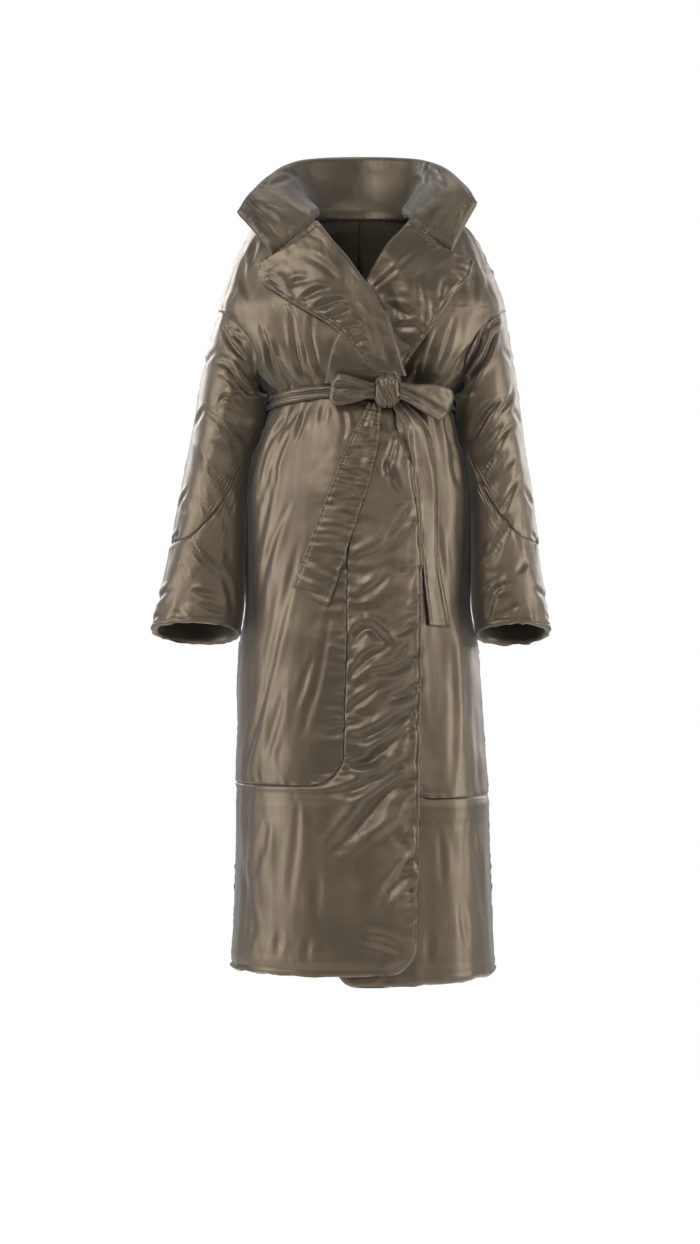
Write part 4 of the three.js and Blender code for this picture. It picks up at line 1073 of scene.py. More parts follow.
@dataclass(frozen=True)
class SatinCloth:
    """Satin-faced nylon over padding: its colours, its gloss, and its finest wrinkles."""

    name: str
    light: tuple[float, float, float]
    dark: tuple[float, float, float]
    roughness: float = 0.42
    metallic: float = 0.7
    wrinkle: float = 0.22

    def make(self) -> bpy.types.Material:
        """Builds the node material."""
        material = bpy.data.materials.new(self.name)
        material.use_nodes = True
        nodes, links = material.node_tree.nodes, material.node_tree.links
        shader = nodes["Principled BSDF"]
        place = nodes.new("ShaderNodeTexCoord").outputs["Object"]

        def add(kind: str, *sources: tuple[bpy.types.NodeSocket, str], **values: float) -> bpy.types.Node:
            """A node with its links and the values of its inputs."""
            node = nodes.new(f"ShaderNode{kind}")
            for name, value in values.items():
                node.inputs[name].default_value = value
            for socket, name in sources:
                links.new(socket, node.inputs[name])
            return node

        tone = add("TexNoise", (place, "Vector"), Scale=9.0, Detail=3.0)
        ramp = add("ValToRGB", (tone.outputs["Fac"], "Fac"))
        for element, position, colour in zip(ramp.color_ramp.elements, (0.34, 0.68), (self.dark, self.light)):
            element.position = position
            element.color = (*colour, 1.0)
        links.new(ramp.outputs["Color"], shader.inputs["Base Color"])

        gloss = add("TexNoise", (place, "Vector"), Scale=38.0, Detail=4.0)
        spread = add("MapRange", (gloss.outputs["Fac"], "Value"))
        spread.inputs["To Min"].default_value = self.roughness - 0.07
        spread.inputs["To Max"].default_value = self.roughness + 0.09
        links.new(spread.outputs["Result"], shader.inputs["Roughness"])

        stretch = add("Mapping", (place, "Vector"), Scale=(1.0, 1.0, 0.22))
        wrinkles = add("TexNoise", (stretch.outputs["Vector"], "Vector"),
                       Scale=62.0, Detail=3.0, Distortion=0.6)
        soft = add("Bump", (wrinkles.outputs["Fac"], "Height"), Strength=self.wrinkle, Distance=0.0022)
        grain = add("TexNoise", (place, "Vector"), Scale=1400.0, Detail=2.0)
        weave = add("Bump", (grain.outputs["Fac"], "Height"), (soft.outputs["Normal"], "Normal"),
                    Strength=0.12, Distance=0.0004)
        links.new(weave.outputs["Normal"], shader.inputs["Normal"])

        shader.inputs["Metallic"].default_value = self.metallic
        shader.inputs["Specular IOR Level"].default_value = 0.5
        shader.inputs["Sheen Weight"].default_value = 0.25
        shader.inputs["Sheen Roughness"].default_value = 0.45
        return material


def make_mesh(name: str, points: Array, faces: Sequence[Sequence[int]], uvs: Array,
              materials: Sequence[bpy.types.Material], slots: Sequence[int] | None = None
              ) -> bpy.types.Object:
    """Makes a mesh object with smooth faces.

    Args:
        name: the object's name.
        points: places in millimetres.
        faces: the faces' point numbers.
        uvs: flat places of the points, in metres.
        materials: the material slots.
        slots: each face's slot, or None for the first.

    Returns:
        The object, at the origin.
    """
    mesh = bpy.data.meshes.new(name)
    mesh.from_pydata((points * MM).tolist(), [], faces)
    for material in materials:
        mesh.materials.append(material)
    mesh.polygons.foreach_set("use_smooth", [True] * len(mesh.polygons))
    if slots is not None:
        mesh.polygons.foreach_set("material_index", list(slots))
    corners = np.empty(len(mesh.loops), dtype=int)
    mesh.loops.foreach_get("vertex_index", corners)
    layer = mesh.uv_layers.new(name="cloth")
    layer.data.foreach_set("uv", uvs[corners].ravel())
    mesh.validate()
    piece = bpy.data.objects.new(name, mesh)
    bpy.context.collection.objects.link(piece)
    return piece


def close_wall(name: str, outer: Array, inner: Array, uvs: Array, ring: bool,
               materials: Sequence[bpy.types.Material], flip: bool = False, step: int = INNER_STEP
               ) -> bpy.types.Object:
    """Closes a fine outer sheet and a coarser inner sheet into one wall.

    Args:
        name: the object's name.
        outer: points of the outer sheet, columns by rows.
        inner: points of the inner sheet on the same grid; only every so many lines are used.
        uvs: flat places on the same grid.
        ring: whether the first and last columns are the same line.
        materials: the cloth, then the inner cloth.
        flip: whether columns by rows turn the other way.
        step: how many lines of the grid the inner sheet skips.

    Returns:
        The closed wall.
    """
    columns, rows = outer.shape[:2]
    pick_s = sorted(set(range(0, columns, step)) | {columns - 1})
    pick_r = sorted(set(range(0, rows, step)) | {rows - 1})
    if ring:
        columns -= 1
        pick_s = pick_s[:-1]
    fine = np.arange(columns * rows).reshape(columns, rows)
    rough = np.arange(len(pick_s) * len(pick_r)).reshape(len(pick_s), len(pick_r)) + fine.size
    points = np.concatenate([outer[:columns].reshape(-1, 3), inner[np.ix_(pick_s, pick_r)].reshape(-1, 3)])
    flat = np.concatenate([uvs[:columns].reshape(-1, 2), uvs[np.ix_(pick_s, pick_r)].reshape(-1, 2)])
    outside = quads(fine, ring).tolist()
    inside = quads(rough, ring)[:, ::-1].tolist()
    rim: list[list[int]] = []

    def border(fine_line: Array, rough_line: Array, places: Sequence[int], flip: bool, wraps: bool) -> None:
        """Joins one border of the fine sheet to the same border of the rough one."""
        count = len(rough_line) if wraps else len(rough_line) - 1
        for k in range(count):
            first = places[k]
            last = places[k + 1] if k + 1 < len(places) else len(fine_line)
            run = [int(fine_line[i % len(fine_line)]) for i in range(first, last + 1)]
            face = run + [int(rough_line[(k + 1) % len(rough_line)]), int(rough_line[k])]
            rim.append(face[::-1] if flip else face)

    border(fine[:, 0], rough[:, 0], pick_s, True, ring)
    border(fine[:, -1], rough[:, -1], pick_s, False, ring)
    if not ring:
        border(fine[0], rough[0], pick_r, False, False)
        border(fine[-1], rough[-1], pick_r, True, False)
    slots = [0] * len(outside) + [1] * len(inside) + [0] * len(rim)
    faces = outside + inside + rim
    if flip:
        faces = [face[::-1] for face in faces]
    return make_mesh(name, points, faces, flat, materials, slots)


@dataclass
class Panels:
    """Makes the coat's padded panels from their patches."""

    MM_A_DEGREE: ClassVar[float] = 2.6
    FINE: ClassVar[float] = 1.7
    COARSE: ClassVar[float] = 4.2
    cloth: bpy.types.Material
    lining: bpy.types.Material
    made: dict[str, bpy.types.Object] = field(default_factory=dict)

    @staticmethod
    def heights(patch: Patch, points: Array, normals: Array) -> Array:
        """The cloth's height over the base: puff, seams and edges, and what the panel has of its own."""
        reach = spans(points, patch.ring)
        total = np.full(points.shape[:2], WALL_PUFF)
        for distance, kind in zip(reach, patch.borders):
            total = total + SHAPE.outer(distance, kind)
        total = total + patch.dress.folds(points, normals)
        return total - patch.dress.cover(points) * np.maximum(total, 0.0) + patch.dress.press(points)

    def build(self, patch: Patch) -> bpy.types.Object:
        """Makes one panel as a closed wall and keeps it."""
        ends = [kind is not Border.PLAIN for kind in patch.borders]
        across = graded(patch.width, self.FINE, self.COARSE, *ends[:2])
        along = graded(patch.length, self.FINE, self.COARSE, *ends[2:])
        points, normals = patch.grid(across, along)
        reach = spans(points, patch.ring)
        flat_s, flat_r = np.meshgrid(across * patch.width, along * patch.length, indexing="ij")
        height = self.heights(patch, points, normals)
        free = 1.0 - patch.dress.cover(points)
        even_s, even_r = np.abs(flat_s - patch.width / 2.0), -points[..., 2]
        if not patch.ring:
            theta, level = Folds.place(points)
            even_s = self.MM_A_DEGREE * (np.abs(theta) if points[..., 1].mean() > 0.0 else theta)
            even_r = -level
        calm = tuple(evened(distance, axis) for distance, axis in zip(reach, (1, 1, 0, 0)))
        height = height + CRUMPLE.height(patch, even_s, even_r, calm) * (0.15 + 0.85 * free)
        points = points + CRUMPLE.flutter(patch, points, flat_s, flat_r, reach)
        outer = points + normals * height[..., None]
        if patch.swell is not None:
            m, n = patch.swell.shape[:2]
            weights_s, weights_r = catmull(across, m), catmull(along, n)
            calm_swell = evened(patch.swell, 1, 4)
            swell = np.einsum("am,mnk,bn->abk", weights_s, calm_swell, weights_r, optimize=True)
            if not patch.ring:
                swell = bridged(swell, points[..., 2])
            swell = evened(evened(swell, 1, 24), 0, 8)
            outer = outer + swell * free[..., None]
        rise = np.zeros(points.shape[:2])
        for distance, kind in zip(reach, patch.borders):
            rise = rise + SHAPE.inner(distance, kind)
        depth = np.minimum(patch.dress.folds(points, normals), 0.0) - WALL + rise
        inner = points + normals * (depth + patch.dress.press(points))[..., None]
        uvs = np.stack([flat_s, flat_r], axis=-1) * MM
        turned = float(np.sum(normals_of(points, patch.ring) * normals)) < 0.0
        piece = close_wall(patch.name, outer, inner, uvs, patch.ring, (self.cloth, self.lining), turned)
        self.made[patch.name] = piece
        log.info("%s: %d faces", patch.name, len(piece.data.polygons))
        return piece


class RibPatch:
    """A surface between two lines on the body, joined by ribs."""

    def __init__(self, start: tuple[Array, Array], end: tuple[Array, Array],
                 armholes: Sequence[tuple[int, SleeveForm, Array]] = (),
                 sunk: Callable[[Array, Array], Array] | None = None) -> None:
        """Spaces the ribs evenly over the cloth.

        Args:
            start: theta and level of each rib's start.
            end: theta and level of each rib's end.
            armholes: for a start (0) or end (1) sewn to a sleeve, the sleeve and phi of each rib, or NaN.
            sunk: how deep the panel lies below the body's surface, from x and z.
        """
        self.start, self.end, self.armholes, self.sunk = start, end, armholes, sunk
        theta = [mix(start[0], end[0], share) for share in (0.0, 0.5, 1.0)]
        level = [mix(start[1], end[1], share) for share in (0.0, 0.5, 1.0)]
        lines = [FORM.point(a, b) for a, b in zip(theta, level)]
        steps = sum(np.linalg.norm(np.diff(line, axis=0), axis=-1) for line in lines) / len(lines)
        self.run = np.concatenate([[0.0], np.cumsum(steps)])
        self.length = float(self.run[-1])
        self.run = self.run / self.length
        across = FORM.point(mix(start[0], end[0], np.linspace(0, 1, 60)[:, None]),
                            mix(start[1], end[1], np.linspace(0, 1, 60)[:, None]))
        widths = np.linalg.norm(np.diff(across, axis=0), axis=-1).sum(axis=0)
        self.width = float(np.median(widths))

    def __call__(self, s: Array, r: Array) -> tuple[Array, Array]:
        """Points and normals at shares across and along."""
        read = [np.interp(r, self.run, line) for line in (*self.start, *self.end)]
        theta = mix(read[0], read[2], s)
        level = mix(read[1], read[3], s)
        points = FORM.point(theta, level)
        normals = FORM.normal(theta, level)
        for which, sleeve, phis in self.armholes:
            sewn = ~np.isnan(phis)
            phi = np.interp(r, self.run[sewn], phis[sewn])
            inside = (r >= self.run[sewn][0]) & (r <= self.run[sewn][-1])
            near = np.linalg.norm(points - FORM.point(*sleeve.armhole(phi)), axis=-1)
            share = np.where(inside, 1.0 - smooth(near / SEWN_BLEND), 0.0)
            on_side = s < 0.5 if which == 0 else s >= 0.5
            share = np.where(on_side, share, 0.0)
            normals = unit(mix(normals, sleeve.seam_normal(phi), share[..., None]))
        if self.sunk is not None:
            points = points - normals * self.sunk(points[..., 0], points[..., 2])[..., None]
        return points, normals


@dataclass(frozen=True)
class FrontCut:
    """The cut of one front: its free edge, its band's seam, and its hem."""

    side: Side
    edge: Table
    seam: Table
    hem: float
    hem_at_side: float
    hem_seam: float

    def corner(self, turn: Array) -> tuple[Array, Array]:
        """The rounded corner of the band's seam, from upright (0) to level (90)."""
        foot = self.hem_seam + SEAM_CORNER_RADIUS
        middle = self.seam.get("x", np.float64(foot)) + self.side.value * SEAM_CORNER_RADIUS
        x = middle - self.side.value * SEAM_CORNER_RADIUS * np.cos(np.radians(turn))
        return FORM.on_front(x, foot - SEAM_CORNER_RADIUS * np.sin(np.radians(turn)))

    def hem_corner(self, turn: Array) -> tuple[Array, Array]:
        """The free edge beside that corner: down, and round the corner of the hem."""
        start = self.hem_seam + SEAM_CORNER_RADIUS
        foot = self.hem + HEM_CORNER_RADIUS
        down = mix(start, foot, np.clip(turn / 45.0, 0.0, 1.0))
        bend = np.radians(np.clip(2.0 * turn - 90.0, 0.0, 90.0))
        middle = self.edge.get("x", np.float64(foot)) + self.side.value * HEM_CORNER_RADIUS
        arc_x = middle - self.side.value * HEM_CORNER_RADIUS * np.cos(bend)
        x = np.where(turn < 45.0, self.edge.get("x", down), arc_x)
        return FORM.on_front(x, down - HEM_CORNER_RADIUS * np.sin(bend))

    def on_line(self, line: Table, level: Array) -> tuple[Array, Array]:
        """The places where an upright line of the cut crosses levels."""
        z = level + FORM.lift(level)
        return FORM.on_front(line.get("x", z), z)


FRONTS = {
    Side.RIGHT: FrontCut(Side.RIGHT, RIGHT_EDGE, RIGHT_SEAM, RIGHT_HEM, RIGHT_HEM, RIGHT_HEM_SEAM),
    Side.LEFT: FrontCut(Side.LEFT, LEFT_EDGE, LEFT_SEAM, LEFT_HEM, LEFT_HEM_AT_SIDE, LEFT_HEM_SEAM),
}


@dataclass(frozen=True)
class Lapel:
    """One lapel's rows, from the belt to the collar: roll line, outer edge, and how far that stands off.

    sunk is how deep the front below it lies, from x and z.
    """

    rows: Table
    sunk: Callable[[Array, Array], Array]

    def face(self, t: Array, share: Array, rise: Array) -> Array:
        """Points over the front's surface at shares of the way from the roll line to the edge."""
        get = self.rows.get
        x = mix(get("roll_x", t), get("edge_x", t), share)
        z = mix(get("roll_z", t), get("edge_z", t), share)
        theta, level = FORM.on_front(x, z)
        rest = ON_PANEL + get("lift", t) * share * share - self.sunk(x, z)
        return FORM.point(theta, level) + FORM.normal(theta, level) * (rest + rise)[..., None]


LAPEL_HEADER = "t roll_x roll_z edge_x edge_z lift"
LAPELS = {
    Side.RIGHT: Lapel(Table(LAPEL_HEADER, """
        0 62 -237 22 -232 0, 0.1 57 -223 4 -219 1, 0.22 50 -201 -15 -196 2, 0.36 40 -168 -42 -168 3,
        0.5 24 -136 -78 -146 4, 0.64 2 -103 -112 -125 5, 0.78 -24 -66 -143 -97 7, 0.88 -44 -42 -142 -80 8,
        1 -65 -15 -121 -65 6
    """), lambda x, z: np.zeros_like(x)),
    Side.LEFT: Lapel(Table(LAPEL_HEADER, """
        0 -48 -248 56 -246 0, 0.2 -38 -203 80 -205 1, 0.38 -20 -160 104 -167 2, 0.54 0 -124 131 -126 4,
        0.7 22 -82 155 -92 6, 0.84 46 -46 158 -74 8, 0.93 60 -31 144 -68 8, 1 73 -15 126 -62 6
    """), BodyForm.tucked_under),
}


class CoatBody:
    """The back, the two wrapping fronts, and their bands."""

    def __init__(self) -> None:
        """Lists the levels and turns that the ribs follow."""
        self.turns = np.linspace(90.0, 0.0, 40)
        self.phis = np.linspace(180.0, 0.0, 80)
        self.shoulder = np.linspace(ARMHOLE_TOP, NECKLINE, 60)[1:]

    def _skirt(self, low: float) -> Array:
        """Levels from the foot of the ribs to the armhole."""
        return np.linspace(low, ARMHOLE_FOOT, 240)[:-1]

    def _upright(self, side: Side, low: float, back: bool) -> tuple[Array, Array, Array]:
        """Theta, level and phi along a side: the side seam, the armhole, and the shoulder seam."""
        sleeve = SLEEVES[side]
        skirt = self._skirt(low)
        phi = 360.0 - self.phis if back else self.phis
        hole_theta, hole_level = sleeve.armhole(phi)
        straight = side.value * SIDE_SEAM_DEG
        level = np.concatenate([skirt, hole_level, self.shoulder])
        theta = np.full_like(level, straight)
        marks = np.full_like(level, np.nan)
        hole = slice(len(skirt), len(skirt) + len(phi))
        theta[hole], marks[hole] = hole_theta, phi
        return theta, level, marks

    @staticmethod
    def _patch(name: str, ribs: RibPatch, dress: Dress, borders: tuple[Border, ...], seed: int,
               tight: tuple[float, float, float, float] = Patch.tight) -> Patch:
        """A panel of the size that its ribs have."""
        return Patch(name, ribs, dress, borders, ribs.width, ribs.length, seed=seed, tight=tight)

    def front(self, side: Side, dress: Dress) -> list[Patch]:
        """The panels of one front."""
        cut = FRONTS[side]
        name = side.name.lower()
        sunk = None if side is Side.RIGHT else BodyForm.tucked_under
        corner_top = cut.hem_seam + SEAM_CORNER_RADIUS
        theta, level, marks = self._upright(side, corner_top, False)
        corner = cut.corner(self.turns)
        low = mix(corner_top, cut.hem_seam, self.turns / 90.0)
        start = (np.concatenate([np.full(len(low) - 1, side.value * SIDE_SEAM_DEG), theta]),
                 np.concatenate([low[:-1], level]))
        seam = cut.on_line(cut.seam, level)
        end = tuple(np.concatenate([a[:-1], b]) for a, b in zip(corner, seam))
        holes = [(0, SLEEVES[side], np.concatenate([np.full(len(low) - 1, np.nan), marks]))]
        main = RibPatch(start, end, holes, sunk)

        foot_corner = float(cut.corner(self.turns[:1])[0][0])
        foot_edge = float(cut.hem_corner(self.turns[:1])[0][0])
        shares = np.linspace(1.0, 0.0, 60)[:-1]
        side_seam = side.value * SIDE_SEAM_DEG
        hem_start = (mix(foot_corner, side_seam, shares), np.full(len(shares), cut.hem_seam))
        hem_end = (mix(foot_edge, side_seam, shares), mix(cut.hem, cut.hem_at_side, shares))
        above = np.linspace(BELT_LEVEL, NECKLINE, 120)[1:]
        up = np.concatenate([np.linspace(corner_top, BELT_LEVEL, 200), above])
        start = tuple(np.concatenate([a, b, c[1:]]) for a, b, c in
                      zip(hem_start, cut.corner(self.turns), cut.on_line(cut.seam, up)))
        end = tuple(np.concatenate([a, b, c[1:]]) for a, b, c in
                    zip(hem_end, cut.hem_corner(self.turns), cut.on_line(cut.edge, up)))
        band = RibPatch(start, end, (), sunk)
        seam, edge = Border.SEAM, Border.EDGE
        return [
            self._patch(f"{name}_front", main, dress, (seam,) * 4, 11 + side.value, (1.0, 2.1, 1.0, 1.0)),
            self._patch(f"{name}_front_band", band, dress, (seam, edge, seam, seam), 21 + side.value,
                        (1.9, 2.1, 1.0, 1.0)),
        ]

    def back(self, dress: Dress) -> list[Patch]:
        """The two halves of the back, and the hem band below them."""
        low_left, low_right = LEFT_HEM_SEAM, RIGHT_HEM_SEAM
        theta, level, marks = self._upright(Side.LEFT, low_left, True)
        other_theta, other_level, other_marks = self._upright(Side.RIGHT, low_right, True)
        start, end = (theta, level), (other_theta + 360.0, other_level)
        middle = tuple(mix(a, b, 0.5) for a, b in zip(start, end))
        left_half = RibPatch(start, middle, [(0, SLEEVES[Side.LEFT], marks)])
        right_half = RibPatch(middle, end, [(1, SLEEVES[Side.RIGHT], other_marks)])
        shares = np.linspace(0.0, 1.0, 60)
        hem = RibPatch((np.full_like(shares, SIDE_SEAM_DEG), mix(LEFT_HEM_AT_SIDE, low_left, shares)),
                       (np.full_like(shares, 360.0 - SIDE_SEAM_DEG), mix(RIGHT_HEM, low_right, shares)))
        seam, edge = Border.SEAM, Border.EDGE
        return [
            self._patch("back_left", left_half, dress, (seam,) * 4, 31),
            self._patch("back_right", right_half, dress, (seam,) * 4, 33),
            self._patch("back_hem_band", hem, dress, (seam, seam, edge, seam), 32),
        ]


class CoatSleeves:
    """The two pieces of each sleeve."""

    UPPER_SIZE = (420.0, 330.0)
    LOWER_SIZE = (400.0, 210.0)

    def panels(self, side: Side, dress: Dress) -> list[Patch]:
        """The upper and the lower piece of one sleeve."""
        sleeve = SLEEVES[side]
        turn = side.value

        def ring(start: Callable[[Array], Array], end: Callable[[Array], Array], sewn: bool) -> Callable:
            """A stretch of the sleeve between two lines round it."""
            def base(s: Array, r: Array) -> tuple[Array, Array]:
                """Points and normals at shares round and along."""
                phi = 360.0 * s * turn
                t = mix(start(phi), end(phi), r)
                points, normals = sleeve.point(phi, t), sleeve.normal(phi, t)
                if sewn:
                    near = np.linalg.norm(points - sleeve.point(phi, np.zeros_like(t)), axis=-1)
                    share = (1.0 - smooth(near / SEWN_BLEND))[..., None]
                    normals = unit(mix(normals, sleeve.seam_normal(phi), share))
                return points, normals
            return base

        name = side.name.lower()
        upper = ring(lambda phi: np.zeros_like(phi), sleeve.seam, True)
        lower = ring(sleeve.seam, lambda phi: np.ones_like(phi), False)
        sides = (Border.PLAIN, Border.PLAIN, Border.SEAM)
        return [
            Patch(f"{name}_sleeve_upper", upper, dress, (*sides, Border.SEAM), *self.UPPER_SIZE, ring=True,
                  seed=41 + turn),
            Patch(f"{name}_sleeve_lower", lower, dress, (*sides, Border.EDGE), *self.LOWER_SIZE, ring=True,
                  seed=51 + turn),
        ]


@dataclass(frozen=True)
class Ground:
    """The cloth that other pieces lie on, asked for its height by looking at it along a direction."""

    START: ClassVar[float] = 45.0
    RAY: ClassVar[float] = 0.09
    trees: tuple[BVHTree, ...]

    def height(self, points: Array, normals: Array, miss: float) -> Array:
        """How high the cloth stands over base points.

        Args:
            points: the base points.
            normals: the direction to measure in.
            miss: the height where no cloth is met.

        Returns:
            The height at every point.
        """
        flat, ways = points.reshape(-1, 3), normals.reshape(-1, 3)
        found = np.full(len(flat), miss)
        for i, (point, way) in enumerate(zip(flat * MM, ways)):
            origin = Vector(point + way * self.START * MM)
            hits = [tree.ray_cast(origin, Vector(-way), self.RAY)[3] for tree in self.trees]
            met = [distance for distance in hits if distance is not None]
            if met:
                found[i] = self.START - min(met) / MM
        return found.reshape(points.shape[:-1])


def soften(values: Array, passes: int) -> Array:
    """Blurs a grid of values a little."""
    out = values.copy()
    for _ in range(passes):
        wide = np.pad(out, 1, mode="edge")
        out = (4.0 * out + wide[:-2, 1:-1] + wide[2:, 1:-1] + wide[1:-1, :-2] + wide[1:-1, 2:]) / 8.0
    return out


def normals_of(points: Array, ring: bool = False) -> Array:
    """The normals of a grid of points, columns by rows."""
    across = np.gradient(points, axis=0)
    if ring:
        across[0] = across[-1] = (points[1] - points[-2]) / 2.0
    return unit(np.cross(across, np.gradient(points, axis=1)))


class Lapels:
    """The folded-back lapels, each with the roll that joins it to its front."""

    LENGTH, WIDTH = 235.0, 95.0
    ROLL_OUT = 5.0
    ROLL_STEPS = 14

    def build(self, panels: Panels, ground: Ground, side: Side, folds: Sequence[Crease]) -> bpy.types.Object:
        """Makes one lapel over the cloth that it lies on.

        Args:
            panels: what makes the walls.
            ground: the fronts' cloth.
            side: the lapel's side.
            folds: its creases.

        Returns:
            The lapel.
        """
        name = f"{side.name.lower()}_lapel"
        lapel = LAPELS[side]
        along = graded(self.LENGTH, 1.5, 3.2, True, True, 10.0)
        across = graded(self.WIDTH, 1.5, 3.2, True, True, 10.0)
        s, r = np.meshgrid(across, along, indexing="ij")
        zero = np.zeros_like(s)
        under = lapel.face(r, s, zero)
        ways = lapel.face(r, s, zero + 1.0) - under
        rest = np.maximum(soften(ground.height(under, ways, -20.0), 6) + 0.8, 0.0)
        reach = spans(under, False)
        nearest = np.minimum.reduce(reach[1:])
        rumple = Rumple(61 + side.value)
        x, z = under[..., 0], under[..., 2]
        height = LAPEL_WALL + 2.5 + 1.2 * total_height(folds, x, z) + 1.5 * rumple.noise(x / 38.0, z / 38.0)
        height = height - 0.7 * rumple.folds((x + z) / 26.0, (x - z) / 44.0) ** 4
        for distance, run in ((reach[1], reach[2]), (reach[3], reach[0])):
            height = height - (LAPEL_WALL / 2.0 + 1.8) * quarter(distance, 5.0)
            height = height - 1.5 * bell((distance - 8.0) / 2.0)
            near = np.exp(-distance / 22.0) * smooth(distance / 5.0 + 0.25)
            height = height + 2.2 * near * rumple.noise(run / 10.0, distance / 60.0 + 7.0)
        outer = under + ways * (rest + np.maximum(height, 1.0))[..., None]
        rise = (LAPEL_WALL / 2.0 - EDGE_LEFT) * quarter(nearest, 4.5) * 0.7
        inner = under + ways * (rest + rise)[..., None]

        turns = np.linspace(math.pi, 0.0, self.ROLL_STEPS, endpoint=False)
        top = outer[0]
        depth = rest[0] + height[0] + WALL + ON_PANEL
        along_roll = unit(np.gradient(top, axis=0))
        outward = unit(np.cross(along_roll, ways[0]))
        outward = outward * np.sign(np.sum(outward * (under[0] - under[1]), axis=-1))[:, None]
        bulge = self.ROLL_OUT * (1.0 + 0.25 * rumple.noise(along * self.LENGTH / 31.0, 0.0 * along))
        curls = [top - ways[0] * (depth * (1.0 - math.cos(turn)) / 2.0)[:, None]
                 + outward * (bulge * math.sin(turn))[:, None] for turn in turns]
        outer = np.concatenate([np.stack(curls), outer])
        flats = [inner[0] - ways[0] * (depth * (1.0 - math.cos(turn)) / 2.0 * 0.9)[:, None]
                 + outward * (bulge * math.sin(turn) * 0.6 - 1.5)[:, None] for turn in turns]
        inner = np.concatenate([np.stack(flats), inner])
        share = np.concatenate([np.linspace(-0.2, 0.0, self.ROLL_STEPS, endpoint=False), across])
        flat_s, flat_r = np.meshgrid(share * self.WIDTH, along * self.LENGTH, indexing="ij")
        uvs = np.stack([flat_s, flat_r], axis=-1) * MM
        return close_wall(name, outer, inner, uvs, False, (panels.cloth, panels.lining), side is Side.RIGHT)


GORGE = 7.0 / 36.0
ROLL = GORGE + 0.1
NOTCH_OPEN = 3.5
COLLAR_BELLY = 7.0
COLLAR_EDGE = Table("u x y z", """
    0 -180 -86 8, 0.1 -170 -68 29, 0.19 -155 -44 49, 0.25 -134 -12 72, 0.31 -112 22 90, 0.39 -78 62 104,
    0.5 0 96 112, 0.61 76 62 105, 0.69 108 22 94, 0.75 130 -12 80, 0.81 148 -44 60, 0.9 161 -68 42,
    1 170 -86 21
""")


